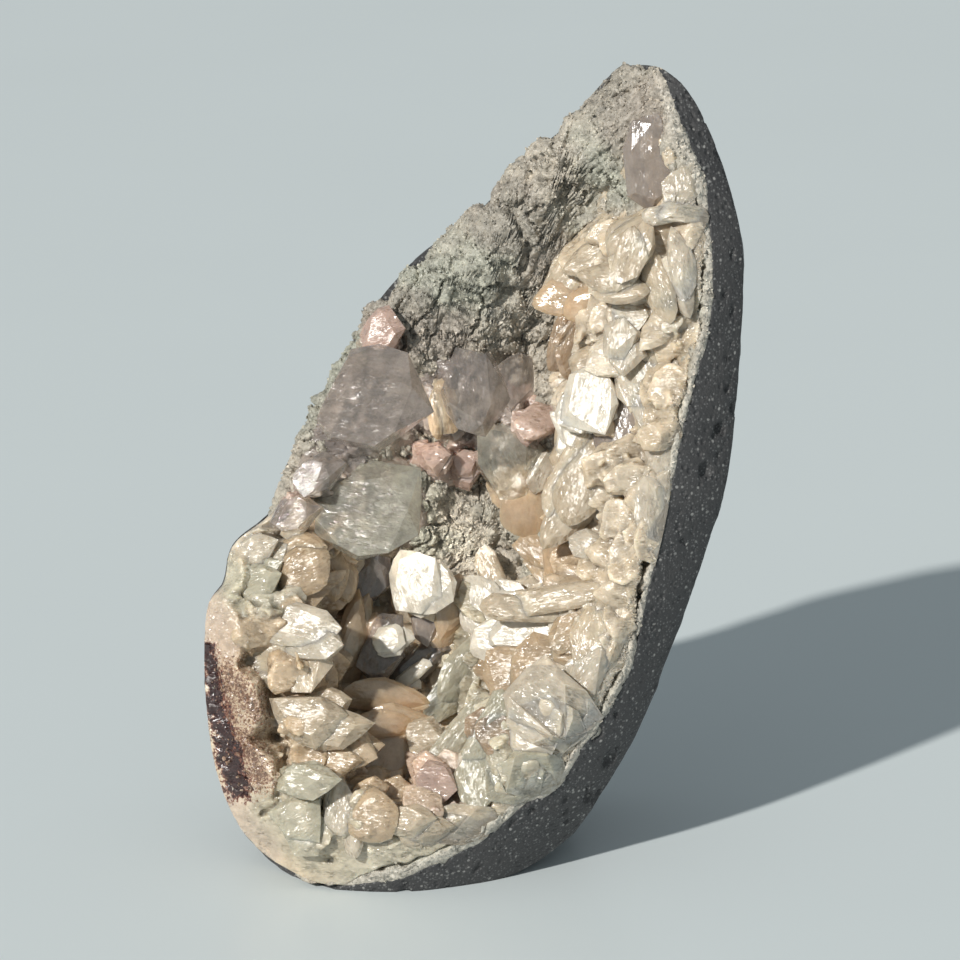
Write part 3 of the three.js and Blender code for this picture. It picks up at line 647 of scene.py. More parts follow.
def even_shares(surface, end, radius, direction, count, samples=300):
    """Rings of a surface that lie evenly along it from the middle out, as shares of the way out."""
    shares = np.linspace(0, 1, samples)[:, None] * end
    u, v = CENTRE[:, None, None] + shares * radius * direction.T[:, None, :]
    w = surface(u.ravel(), v.ravel()).reshape(u.shape)
    deeper = np.clip(np.diff(w, axis=0), -1, 1)
    step = np.sqrt(np.diff(u, axis=0) ** 2 + np.diff(v, axis=0) ** 2 + deeper**2)
    length = np.concatenate([np.zeros((1, len(end))), np.cumsum(step, axis=0)])
    even = np.arange(1, count + 1) / count
    columns = [np.interp(even * length[-1, k], length[:, k], shares[:, k]) for k in range(len(end))]
    return np.column_stack(columns)


def spoke_angles(start=0.0, end=0.0, extra=0.0):
    """Directions of the spokes, lying closer together from one angle to another."""
    fine = np.linspace(-math.pi, math.pi, 7201)
    turn = (fine - start) % (2 * math.pi)
    inside = smoothstep(turn, 0, 0.2) * (1 - smoothstep(turn, end - start - 0.2, end - start))
    total = np.concatenate([[0], np.cumsum(1 + extra * inside[:-1])])
    return np.interp(np.arange(SPOKES) / SPOKES * total[-1], total, fine)


def ring_at(share, radius, direction, depth):
    """A ring at a share of the way out, on a surface or at given depths."""
    u, v = (CENTRE + (share * radius)[:, None] * direction).T
    return np.column_stack([u, depth(u, v) if callable(depth) else depth, v])


def drawn_in(ring, share, surface):
    """A ring pulled in toward CENTRE and laid on a surface."""
    u, v = (CENTRE + share * (ring[:, [0, 2]] - CENTRE)).T
    return np.column_stack([u, surface(u, v), v])


def swept(layers, front, back):
    """Points and triangles of rings one after the other, closed by a pole on each surface."""
    middle = CENTRE.reshape(2, 1)
    poles = [np.array([[CENTRE[0], surface(*middle)[0], CENTRE[1]]]) for surface in (front, back)]
    points = np.concatenate([poles[0], *layers, poles[1]])
    return points, outward(points, ring_triangles(len(layers), len(layers[0])))


def by_ring(values, counts, spokes):
    """A value for each point of swept rings, the first and last values also for the poles."""
    return np.concatenate([values[:1], np.repeat(values, np.array(counts) * spokes), values[-1:]])


def polar_slab(end_share, front, back, rings, angle):
    """A layer described round CENTRE: a front surface, a band round its edge, and a back surface.
    Gives the points, the triangles and how much each point belongs to the front or the edge."""
    radius = outline_at(angle)[0]
    end = end_share(angle)
    direction = np.column_stack([np.cos(angle), np.sin(angle)])
    edge_u, edge_v = (CENTRE + radius[:, None] * direction).T
    shares = even_shares(front, end, radius, direction, rings[0])
    layers = [ring_at(share, radius, direction, front) for share in shares]
    first_w = layers[-1][:, 1]
    last = ring_at(end, radius, direction, back)
    last_w = np.maximum(last[:, 1], first_w + 0.3)
    for step in range(1, rings[1] + 1):
        w = first_w + (last_w - first_w) * step / rings[1]
        rise = side_rise(edge_u, edge_v, last[:, 2], w)
        layers.append(ring_at(np.minimum(end, (1 - rise**3) ** (1 / 3)), radius, direction, w))
    inner = layers[-1]
    for step in range(1, rings[2] + 1):
        share = 1 - step / (rings[2] + 1)
        layers.append(drawn_in(inner, share, lambda u, v: np.maximum(back(u, v), front(u, v) + 0.3)))
    points, triangles = swept(layers, front, back)
    return points, triangles, by_ring([1.0, 1.0, 0.0], rings, len(angle))


def displaced(points, triangles, amount):
    return points + normals_of(points, triangles) * amount[:, None]


def lifted_off_base(points, height=LINING_CLEARANCE):
    """Keeps a layer above the level of the base."""
    drop = height * 0.001 - to_row(points)[:, 2]
    rise = np.maximum(drop, 0) * 1000
    return points + rise[:, None] * np.array([0, -math.sin(FACE_LEAN), math.cos(FACE_LEAN)])


def near_basalt_peek(angle):
    """1 in the directions of the places where the basalt shows past the druse."""
    total = np.zeros_like(angle)
    radius = outline_at(angle)[0]
    u, v = CENTRE[0] + radius * np.cos(angle), CENTRE[1] + radius * np.sin(angle)
    for pu, pv, size in BASALT_PEEKS:
        total = np.maximum(total, np.exp(-((u - pu) ** 2 + (v - pv) ** 2) / size**2))
    return total


def ragged_rim(angle, seed):
    """How much a layer's edge comes and goes, as a share of the way out."""
    radius, _, _ = outline_at(angle)
    edge = np.column_stack([radius * np.cos(angle), 0 * angle, radius * np.sin(angle)])
    return 0.016 * value_noise(edge, 7, seed) + 0.014 * value_noise(edge, 2.6, seed + 1)


def druse_layer():
    """The sugary lining: lumps on lumps, creased between them, thinning out at the ground rim."""

    def end_share(angle):
        _, rim, _ = outline_at(angle)
        ragged = ragged_rim(angle, 41)
        notch = 0.05 * near_basalt_peek(angle)
        covered_side = 0.08 * smoothstep(rim, 1.04, 1.1)  # the crust alone reaches the ground left side
        at_outline = 1 - notch - covered_side + np.where(rim > 1, 0.5 * ragged, 0)
        return np.minimum(at_outline, rim + 0.014 + ragged)

    def front(u, v):
        share, rim, _ = edge_toward(u, v)
        sunk = 0.9 * smoothstep(share / rim, 0.995, 1.02) - 0.15
        return np.maximum(druse_depth(u, v), ground_front(u, v) + sunk)

    def back(u, v):
        return np.maximum(wall_depth(u, v), ground_front(u, v)) + 0.4

    angles = spoke_angles(*BARE_DRUSE)
    points, triangles, shown = polar_slab(end_share, front, back, DRUSE_RINGS, angles)
    warped = points + 1.6 * np.column_stack([value_noise(points, 5, seed) for seed in (31, 32, 33)])
    relief = 1.4 * fractal(points, 18, 2, 4) + 0.35 * fractal(points, 1.6, 2, 44)
    for height, size, seed in DRUSE_LUMPS:
        relief += height * domes(warped if size > 4 else points, size, seed)
    for depth, size, seed in DRUSE_CREASES:
        near, next_near, _, own = worley(warped, size, seed)
        relief -= depth * (1 - smoothstep(next_near - near, 0.0, 0.09)) * (own[:, 0] > 0.4)
    share, rim, _ = edge_toward(points[:, 0], points[:, 2])
    relief = (relief - 3.2) * (1 - 0.85 * smoothstep(share / rim, 0.93, 1.0) * (rim < 1))
    points = displaced(points, triangles, relief * shown)
    away_from_rim = shown * (1 - smoothstep(share / rim, 0.9, 1.0))
    points[:, 2] -= LEDGE_DROOP * np.maximum(relief + 1, 0) * away_from_rim
    return lifted_off_base(points), triangles


def crust_layer():
    """The bed that the crystals grow from: faceted where it is broken, smooth where it is ground."""

    def end_share(angle):
        radius, rim, _ = outline_at(angle)
        u, v = CENTRE[0] + radius * np.cos(angle), CENTRE[1] + radius * np.sin(angle)
        bare = 1 - smoothstep(crust_height(u, v), -0.4, 0.6)
        return np.minimum(1, rim - 0.012 + ragged_rim(angle, 47)) - 0.03 * bare

    def front(u, v):
        points = np.column_stack([u, 0 * u, v])
        height = crust_height(u, v)
        broken = sum(high * facets(points, size, seed, steep) for high, size, seed, steep in CRUST_FACETS)
        hidden = 6 * (1 - smoothstep(height, -0.6, 0.8))
        depth = crust_depth(u, v) - smoothstep(height, 0.5, 4) * broken + hidden
        return np.maximum(depth, ground_front(u, v) - 0.1)

    def back(u, v):
        return np.maximum(druse_depth(u, v) + 2.2, ground_front(u, v) + 1.5)

    points, triangles, shown = polar_slab(end_share, front, back, CRUST_RINGS, spoke_angles())
    depth = points[:, 1] - ground_front(points[:, 0], points[:, 2])
    rough = 0.3 * domes(points, 1.9, 8) + 0.4 * fractal(points, 5, 4, 9)
    rough *= 0.12 + 0.88 * smoothstep(depth, 0.3, 2.0)
    rough -= 1.1 * smoothstep(closeness(points, CRACK) + 0.25 * value_noise(points, 1.5, 48), 0.4, 0.8)
    points = displaced(points, triangles, rough * shown)
    return lifted_off_base(points), triangles


def basalt_layer():
    """The nodule: the wall of the hollow, the ground front, the rounded side and the broken back."""
    angle = np.linspace(-math.pi, math.pi, SPOKES, endpoint=False)
    radius, rim, _ = outline_at(angle)
    direction = np.column_stack([np.cos(angle), np.sin(angle)])
    edge_u, edge_v = (CENTRE + radius[:, None] * direction).T
    edge_w = ground_front(edge_u, edge_v)

    # the rounded side, finely stepped, up to where it meets the broken back
    side = []
    for rise in np.linspace(0, 1, SIDE_STEPS):
        share = (1 - rise**3) ** (1 / 3) * np.ones(SPOKES)
        u, w, v = ring_at(share, radius, direction, lambda u, v: edge_w + rise * side_reach(edge_w, v)).T
        rough = rise * (1.6 * lumps(u, v, w, 41) + 0.9 * lumps(w, u, v, 23))
        side.append(np.column_stack([u + rough * direction[:, 0], w, v + rough * direction[:, 1]]))
    side = np.array(side)
    past_back = side[:, :, 1] > back_depth(side[:, :, 0], side[:, :, 2])
    past_back[-1] = True
    crease = past_back.argmax(axis=0)

    # the ground front, or on the left the start of the side, from where the lining ends
    wall_w = np.where(rim < 1, 0, wall_depth(edge_u, edge_v) - edge_w)
    begin = (np.clip(wall_w / side_reach(edge_w, edge_v), 0, 0.6) * (SIDE_STEPS - 1)).astype(int)
    rings = np.zeros((BASALT_RINGS[1], SPOKES, 3))
    for s in range(SPOKES):
        path = side[begin[s]:max(crease[s], begin[s] + 2) + 1, s]
        if rim[s] < 1:
            share = np.linspace(rim[s], 1, 60)
            front = ring_at(share, radius[s], direction[s], ground_front)
            path = np.concatenate([front[:-1], path])
        length = np.concatenate([[0], np.cumsum(np.linalg.norm(np.diff(path, axis=0), axis=1))])
        even = np.linspace(0, length[-1], BASALT_RINGS[1])
        rings[:, s] = np.column_stack([np.interp(even, length, path[:, k]) for k in range(3)])

    hollow_steps, _, back_steps = BASALT_RINGS
    hollow_shares = np.arange(1, hollow_steps + 1) / (hollow_steps + 1)
    back_shares = 1 - (np.arange(1, back_steps + 1) / (back_steps + 1)) ** 0.9
    hollow = [drawn_in(rings[0], share, wall_depth) for share in hollow_shares]
    back = [drawn_in(rings[-1], share, back_depth) for share in back_shares]
    points, triangles = swept([*hollow, *rings, *back], wall_depth, back_depth)
    counts = (hollow_steps, BASALT_RINGS[1] - 1, back_steps + 1)
    return weathered(points, triangles, by_ring([0, 1, 2], counts, SPOKES))


def weathered(points, triangles, kind):
    """Gas bubbles, chips and broken faces in the basalt: 0 is the hidden wall, 2 the broken back."""
    broken = (kind == 2).astype(float)
    depth = points[:, 1] - ground_front(points[:, 0], points[:, 2])
    ground = np.clip(1 - depth / 3, 0, 1) * (kind == 1)
    natural = (kind == 1) * (1 - ground)
    relief = 0.25 * fractal(points, 4, 3, 70) * (natural + broken)
    relief += 0.05 * fractal(points, 3, 2, 71) * ground
    relief += 0.55 * fractal(points, 13, 2, 72) * natural
    chipped = 2.0 * facets(points, 13, 73, 1.0) + 0.8 * facets(points, 5, 74, 1.2)
    relief += broken * (chipped - 1.8)
    for size, seed, chance, deep in BUBBLES:
        distance, _, _, own = worley(points, size, seed)
        radius = 0.16 + 0.16 * own[:, 1]
        pit = np.sqrt(np.clip(1 - (distance / radius) ** 2, 0, 1))
        relief -= deep * pit * (own[:, 0] < chance)
    return displaced(points, triangles, relief * (kind > 0)), triangles


def cut_flat(piece):
    """Takes away what reaches below the level of the base."""
    bpy.ops.mesh.primitive_cube_add(size=1, location=(0, 0, -0.25))
    cutter = bpy.context.object
    cutter.scale = (1, 1, 0.5)
    cut = piece.modifiers.new("base", "BOOLEAN")
    cut.operation = "DIFFERENCE"
    cut.solver = "MANIFOLD"
    cut.object = cutter
    bpy.context.view_layer.objects.active = piece
    bpy.ops.object.modifier_apply(modifier=cut.name)
    bpy.data.objects.remove(cutter)


# Crystals

def turned(spin, yaw, pitch):
    """Rotation in the face frame from angles in degrees: spin in the face, then pitch, then yaw."""
    angles = np.radians([yaw, -pitch, -spin])
    (cos_yaw, cos_pitch, cos_spin), (sin_yaw, sin_pitch, sin_spin) = np.cos(angles), np.sin(angles)
    about_v = np.array([[cos_yaw, -sin_yaw, 0], [sin_yaw, cos_yaw, 0], [0, 0, 1]])
    about_u = np.array([[1, 0, 0], [0, cos_pitch, -sin_pitch], [0, sin_pitch, cos_pitch]])
    about_w = np.array([[cos_spin, 0, sin_spin], [0, 1, 0], [-sin_spin, 0, cos_spin]])
    return about_v @ about_u @ about_w


def hull_of(points):
    """The convex hull of some points as points and triangles."""
    shape = bmesh.new()
    for point in points:
        shape.verts.new(point)
    made = bmesh.ops.convex_hull(shape, input=shape.verts)
    loose = {g for g in made["geom_interior"] + made["geom_unused"] if isinstance(g, bmesh.types.BMVert)}
    bmesh.ops.delete(shape, geom=list(loose), context="VERTS")
    bmesh.ops.triangulate(shape, faces=shape.faces)
    shape.verts.index_update()
    corners = np.array([v.co for v in shape.verts])
    triangles = np.array([[v.index for v in f.verts] for f in shape.faces])
    shape.free()
    return corners, outward(corners, triangles)


def grown_outline(habit, width, height, steps):
    """A habit's outline with its corners moved a little and rounded as the habit has them."""
    corners = np.array(HABITS[habit]) * (1 + rng.uniform(-0.18, 0.18, (len(HABITS[habit]), 2)))
    curve, straight = smooth_loop(corners, np.arange(len(corners) * steps) / steps)
    straight = straight + rng.uniform(-0.025, 0.025, curve.shape)
    return mix(straight, curve, HABIT_VALUES[habit][0]) * [width, height]


def crystal_body(habit, width, height, thickness, even=False):
    """One crystal body: a sharp outline, a flat front face set off to one side, and facets between.
    An even one has its front face square to its depth."""
    outline = grown_outline(habit, width, height, 2)
    roundness, _, face_share, wall = HABIT_VALUES[habit]
    count = len(outline)
    points = []

    def add(flat, depth):
        points.extend(np.column_stack([flat[:, 0], depth * np.ones(len(flat)), flat[:, 1]]))

    add(outline, rng.uniform(-wall, 0, count) * thickness)
    add(outline * 0.97, rng.uniform(0.05, wall + 0.1, count) * thickness)
    slope = rng.uniform(-0.1, 0.1, 2) * (0.1 if even else 1.0)
    shift = rng.uniform(-0.12, 0.12, 2) * [width, height]
    if roundness > 0.5:  # a lens
        for share, depth in LENS_RINGS:
            ring = outline * share + (1 - share) * shift
            add(ring, ring @ slope + depth * thickness)
    else:
        size = rng.uniform(face_share - 0.12, face_share + 0.06, (count, 1))
        face = (outline * size)[rng.permutation(count)[:7]] + shift
        add(face, face @ slope - 0.5 * thickness)
        add((outline * 0.86 + 0.5 * shift)[rng.permutation(count)[:3]], -0.36 * thickness)
    add((outline * 0.62)[rng.permutation(count)[:5]], 0.5 * thickness)
    return hull_of(points)


def crystal_cluster(habit, width, height, thickness, even):
    """A crystal of a few nearly parallel bodies, each set off to one side and deeper than the first."""
    pieces = []
    for k in range(HABIT_VALUES[habit][1]):
        first = k == 0
        body_width = width * (1.0 if first else rng.uniform(0.7, 1.0))
        body_height = height * (1.0 if first else rng.uniform(0.75, 1.05))
        depth = thickness * rng.uniform(0.7, 1.0)
        points, triangles = crystal_body(habit, body_width, body_height, depth, even)
        angles = rng.uniform(-1, 1, 3) * ([40, 3, 3] if even else [18, 9, 9])
        shift = rng.uniform(-1, 1, 3) * [0.36 * width, 0, 0.36 * height]
        if first:
            angles, shift = 0 * angles, 0 * shift
        shift[1] = 0.3 * thickness * k
        pieces.append((points @ turned(*angles).T + shift, triangles, points))
    return pieces


def grown_tints(local, size, tint, seed):
    """Colours inside one crystal: its own tint towards the rim, paler and cloudier inside."""
    cloud = fractal(local, 0.4 * size, 2, seed)
    middle = 1 - np.clip(np.linalg.norm(local, axis=1) / (0.55 * size), 0, 1)
    paler = np.clip(0.2 + 0.6 * middle + 0.5 * cloud, 0, 1)
    return mix(np.array(TINTS[tint]), np.array(TINTS["pale"]) * 1.04, 0.36 * paler)


def join(pieces):
    """Points, triangles and per-point values of several meshes as one."""
    points, triangles, *extras = zip(*pieces)
    starts = np.cumsum([0] + [len(some) for some in points[:-1]])
    moved = [some + start for some, start in zip(triangles, starts)]
    return [np.concatenate(some) for some in (points, moved, *extras)]


def main_crystals(*wanted):
    """The bodies of those crystals of the table that have one of the wanted tints."""
    pieces = []
    for number, (tint, habit, u, v, lift, width, height, thickness, *angles) in enumerate(CRYSTALS):
        if tint not in ("clear", "glassy"):
            width, height, thickness = SPREAD * width, SPREAD * height, FLATTENING * thickness
        cluster = crystal_cluster(habit, width, height, thickness, tint == "mirror")
        if tint not in wanted:
            continue
        centre = np.array([u, crust_surface(np.array([u]), np.array([v]))[0] - lift + SUNK, v])
        for points, triangles, local in cluster:
            colours = grown_tints(local, max(width, height), tint, number) * rng.uniform(0.92, 1.06)
            if height > width:  # its growth lines run along it
                local = local[:, ::-1]
            placed = points @ turned(*angles).T + centre
            pieces.append((placed, triangles, colours, local + rng.uniform(0, 90, 3)))
    return pieces


def inside_rim(place, reach):
    """1 for places well inside the lining's rim, falling to 0 at a share of the way to it."""
    share, rim, _ = edge_toward(place[:, 0], place[:, 2])
    limit = np.minimum(rim, reach)
    return 1 - smoothstep(share, limit - 0.09, limit)


def on_crust(place, thin, thick, margin=0.5):
    """1 where the crust is thick and stands before the druse, falling to 0 where it thins out."""
    u, w, v = place.T
    return smoothstep(crust_height(u, v), thin, thick) * (w < druse_depth(u, v) - margin)


def near_ground(place, reach):
    """1 on the ground front, falling off behind it."""
    u, w, v = place.T
    return np.exp(-np.maximum(w - ground_front(u, v), 0) / reach)


def filling_crystals(bed, count=520):
    """Crystals like the main ones, smaller, that fill the crust between them face on. They point
    from the rim toward the middle of the hollow."""

    def weight(place):
        u, _, v = place.T
        clear = np.exp(-((u + 25) ** 2 / 16**2 + (v - 6) ** 2 / 22**2) ** 2)
        stained = closeness(place, CRACK + RUSTY) > -0.3
        open_crust = on_crust(place, 1.5, 4) * (1 - 0.9 * near_ground(place, 1.5))
        return open_crust * (1 - 0.95 * clear) * inside_rim(place, 0.93) * ~stained

    places, normals = sample_surface(*bed, count, weight)
    habits = ["plate", "tooth", "plate", "block"]
    pieces = []
    for place, normal, tint in zip(places, normals, crust_tint(places)):
        habit = habits[rng.integers(len(habits))]
        size = rng.uniform(5.0, 12.0)
        facing = 0.8 * normal + np.array([-0.1, -1.0, 0.1]) + 0.3 * rng.normal(size=3)
        facing /= np.linalg.norm(facing)
        yaw = math.degrees(math.atan2(facing[0], -facing[1]))
        pitch = math.degrees(math.asin(facing[2]))
        inward = math.degrees(math.atan2(CENTRE[1] - place[2], CENTRE[0] - 6 - place[0]))
        matrix = turned(inward + rng.normal(0, 28), yaw, pitch)
        height, thickness = size * rng.uniform(0.5, 0.85), size * rng.uniform(0.2, 0.34)
        body, sides = crystal_body(habit, size, height, thickness)
        paler = np.clip(0.25 + 0.5 * fractal(body, 3.0, 2, 91), 0, 1)
        colours = mix(tint, np.array(TINTS["pale"]), 0.3 * paler) * rng.uniform(0.88, 1.08)
        centre = place + facing * 0.03 * size
        pieces.append((body @ matrix.T + centre, sides, colours, body + rng.uniform(0, 90, 3)))
    return pieces


def sample_surface(points, triangles, count, weight):
    """Random places on a surface, more of them where the weight of a place is larger."""
    a, b, c = corners_of(points, triangles)
    area = np.linalg.norm(np.cross(b - a, c - a), axis=1)
    chance = area * weight((a + b + c) / 3)
    chosen = rng.choice(len(triangles), count, p=chance / chance.sum())
    x, y = rng.uniform(size=(2, count, 1))
    x, y = np.where(x + y > 1, 1 - x, x), np.where(x + y > 1, 1 - y, y)
    places = a[chosen] + x * (b - a)[chosen] + y * (c - a)[chosen]
    normals = normals_of(points, triangles)[triangles[chosen]].mean(axis=1)
    return places, normals / np.linalg.norm(normals, axis=1, keepdims=True)


def standing(normals, lean):
    """Rotations that set a shape's third axis along each normal, leaning and turned at random."""
    count = len(normals)
    up = normals + lean * rng.normal(size=(count, 3))
    up /= np.linalg.norm(up, axis=1, keepdims=True)
    side = np.cross(up, rng.normal(size=(count, 3)))
    side /= np.linalg.norm(side, axis=1, keepdims=True)
    return np.stack([side, np.cross(up, side), up], axis=-1)


def strewn(shapes, places, rotations, sizes, colours):
    """Copies of a few shapes as one mesh."""
    which = rng.integers(len(shapes), size=len(places))
    pieces = []
    for k, (points, triangles) in enumerate(shapes):
        chosen = np.flatnonzero(which == k)
        local = points[None] * sizes[chosen, None]
        moved = np.einsum("nij,npj->npi", rotations[chosen], local) + places[chosen, None]
        index = triangles[None] + len(points) * np.arange(len(chosen))[:, None, None]
        shade = np.repeat(colours[chosen], len(points), axis=0)
        start = rng.uniform(0, 90, (len(chosen), 1, 3))
        pieces.append((moved.reshape(-1, 3), index.reshape(-1, 3), shade, (local + start).reshape(-1, 3)))
    return join(pieces)


def blade_shapes(count=14):
    """Small blades that stand on their root, one unit wide, thick and long."""
    corners = [(-0.5, -0.2), (-0.45, 0.6), (-0.1, 1.0), (0.35, 0.85), (0.5, 0.3), (0.4, -0.2)]
    shapes = []
    for _ in range(count):
        points = []
        for x, z in corners:
            x, z = x * rng.uniform(0.8, 1.1), z * rng.uniform(0.85, 1.05)
            points += [(x * 0.78, -0.5, z * 0.86), (x, -0.15, z), (x, 0.2, z), (x * 0.8, 0.5, z * 0.9)]
        shapes.append(hull_of(points))
    return shapes


def grain_shapes(count=10):
    """Blocky grains, about one unit across."""
    shapes = []
    for _ in range(count):
        points = rng.normal(size=(9, 3))
        shapes.append(hull_of(0.5 * points / np.linalg.norm(points, axis=1, keepdims=True)))
    return shapes


def small_crystals(bed, count=300):
    """Small crystals between the main ones, standing on the bed."""

    def weight(place):
        open_crust = on_crust(place, 0.6, 3) * (1 - 0.85 * near_ground(place, 2.0))
        return open_crust * inside_rim(place, 0.94)

    places, normals = sample_surface(*bed, count, weight)
    rotations = standing(normals + np.array([0, -0.7, 0.1]), 0.42)  # leaning toward the front
    length = rng.uniform(1.2, 3.2, count)
    width, thickness = length * rng.uniform(0.5, 1.0, count), length * rng.uniform(0.2, 0.5, count)
    sizes = np.column_stack([width, thickness, length])
    colours = crust_tint(places) * rng.uniform(0.9, 1.1, (count, 1))
    return strewn(blade_shapes(), places - 0.3 * sizes[:, 2:] * normals, rotations, sizes, colours)


def sugary_grains(bed, count=7000):
    """Grains of the broken crust round the ground rim and between the crystals."""

    def weight(place):
        u, _, v = place.T
        share, rim, _ = edge_toward(u, v)
        rim_band = smoothstep(share / rim, 0.8, 0.97) * (u + 0.4 * v > -12)
        stained = smoothstep(closeness(place, RUSTY), 0.2, 0.5)
        at_rim = 2.2 * near_ground(place, 1.5) * rim_band
        return on_crust(place, 0, 1.5, 0.3) * (0.2 * inside_rim(place, 0.93) + at_rim + 0.35 * stained)

    places, normals = sample_surface(*bed, count, weight)
    sizes = rng.uniform(0.4, 1.1, (count, 1)) * rng.uniform(0.7, 1.2, (count, 3))
    colours = crust_tint(places) * rng.uniform(0.9, 1.15, (count, 1))
    rusty = smoothstep(closeness(places, RUSTY) + 0.2 * rng.normal(size=count), 0.1, 0.5)
    colours = mix(colours, np.array(TINTS["rust"]) * rng.uniform(0.5, 3.5, (count, 1)), 0.85 * rusty)
    return strewn(grain_shapes(), places, standing(normals, 1.0), sizes, np.minimum(colours, 0.9))


def druse_grains(bed, count=9000):
    """Tiny crystals all over the druse."""

    def weight(place):
        u, w, v = place.T
        bare = 1 - smoothstep(crust_height(u, v), 1.0, 3.0)
        return bare * (w < wall_depth(u, v) + 0.2)

    places, normals = sample_surface(*bed, count, weight)
    sizes = rng.uniform(0.45, 1.15, (count, 1)) * rng.uniform(0.7, 1.2, (count, 3))
    colours = druse_tint(places) * rng.uniform(0.8, 1.5, (count, 1))
    return strewn(grain_shapes(), places, standing(normals, 1.0), sizes, colours)


def grown_together(pieces):
    """Overlapping bodies merged into one closed body, coloured as the nearest of them is."""
    points, triangles, tints, _ = join(pieces)
    mesh = bpy.data.meshes.new("grown")
    mesh.from_pydata(points.tolist(), [], triangles.tolist())
    body = bpy.data.objects.new("grown", mesh)
    bpy.context.scene.collection.objects.link(body)
    merge = body.modifiers.new("merge", "REMESH")
    merge.mode = "VOXEL"
    merge.voxel_size = GROWN_VOXEL
    thin = body.modifiers.new("thin", "DECIMATE")
    thin.ratio = GROWN_KEPT
    made = body.evaluated_get(bpy.context.evaluated_depsgraph_get()).to_mesh()
    made.calc_loop_triangles()
    new_points = np.empty(3 * len(made.vertices))
    made.vertices.foreach_get("co", new_points)
    new_points = new_points.reshape(-1, 3)
    new_triangles = np.empty(3 * len(made.loop_triangles), np.int32)
    made.loop_triangles.foreach_get("vertices", new_triangles)
    bpy.data.objects.remove(body)
    bpy.data.meshes.remove(mesh)
    tree = BVHTree.FromPolygons(points.tolist(), triangles.tolist())
    nearest = np.array([tree.find_nearest(place)[2] for place in new_points])
    corners = triangles[nearest]
    away = np.linalg.norm(points[corners] - new_points[:, None], axis=2)
    weight = 1 / (away + 0.1)
    weight /= weight.sum(axis=1, keepdims=True)
    colours = (tints[corners] * weight[..., None]).sum(axis=1)
    return new_points, new_triangles.reshape(-1, 3), colours


def ground_off(points, limit=0.985):
    """Keeps crystals inside the outline of the stone and, on the right and below, inside the rim of
    the hollow and behind the ground front, where grinding has cut them off."""
    share, rim, _ = edge_toward(points[:, 0], points[:, 2])
    shrink = np.minimum(1, np.minimum(limit, rim + 0.004) / np.maximum(share, 1e-9))
    kept = points.copy()
    kept[:, 0] = CENTRE[0] + (points[:, 0] - CENTRE[0]) * shrink
    kept[:, 2] = CENTRE[1] + (points[:, 2] - CENTRE[1]) * shrink
    flush = smoothstep(share / rim, 0.8, 0.95) * (rim < 0.97)
    front = ground_front(kept[:, 0], kept[:, 2]) - 0.4
    kept[:, 1] += flush * np.maximum(front - kept[:, 1], 0)
    return kept


# Materials

class Nodes:
    """Short ways to add the nodes of one material."""

    def __init__(self, name):
        self.material = bpy.data.materials.new(name)
        self.material.use_nodes = True
        self.tree = self.material.node_tree

    def fill(self, node, inputs):
        """Sets or links the inputs of a node."""
        for key, value in inputs.items():
            if hasattr(value, "is_output"):
                self.tree.links.new(value, node.inputs[key])
            else:
                node.inputs[key].default_value = value

    def add(self, kind, inputs, output=0, **settings):
        """Adds a node and gives one of its outputs."""
        node = self.tree.nodes.new("ShaderNode" + kind)
        for key, value in settings.items():
            setattr(node, key, value)
        self.fill(node, inputs)
        return node.outputs[output]

    def noise(self, place, scale, detail, roughness, output="Fac"):
        inputs = {"Vector": place, "Scale": scale, "Detail": detail, "Roughness": roughness}
        return self.add("TexNoise", inputs, output)

    def cells(self, place, scale):
        """The distance to the middle of the nearest cell, and the colour that the cell owns."""
        near = self.add("TexVoronoi", {"Vector": place, "Scale": scale}, "Distance")
        return near, near.node.outputs["Color"]

    def remap(self, value, low, high, to_low=0.0, to_high=1.0):
        return self.add("MapRange", {0: value, 1: low, 2: high, 3: to_low, 4: to_high})

    def maths(self, a, operation, b):
        return self.add("Math", {0: a, 1: b}, operation=operation)

    def vectors(self, a, operation, b):
        return self.add("VectorMath", {0: a, 1: b}, operation=operation)

    def scaled(self, vector, amount):
        return self.add("VectorMath", {0: vector, "Scale": amount}, operation="SCALE")

    def blend(self, share, a, b):
        return self.add("Mix", {"Factor": share, 6: a, 7: b}, 2, data_type="RGBA")

    def bumps(self, *heights):
        """Bumps one after the other: height, strength and distance in metres."""
        below = {}
        for height, strength, distance in heights:
            inputs = {"Height": height, "Strength": strength, "Distance": distance}
            below = {"Normal": self.add("Bump", inputs | below)}
        return below["Normal"]

    def tilted(self, normal, place, scale, amount):
        """A normal that is turned a little in each cell of a pattern, as small crystals turn it."""
        centred = self.vectors(self.cells(place, scale)[1], "SUBTRACT", (0.5, 0.5, 0.5))
        summed = self.vectors(normal, "ADD", self.scaled(centred, amount))
        return self.add("VectorMath", {0: summed}, operation="NORMALIZE")

    def finish(self, shader_inputs):
        self.fill(self.tree.nodes["Principled BSDF"], shader_inputs)
        return self.material


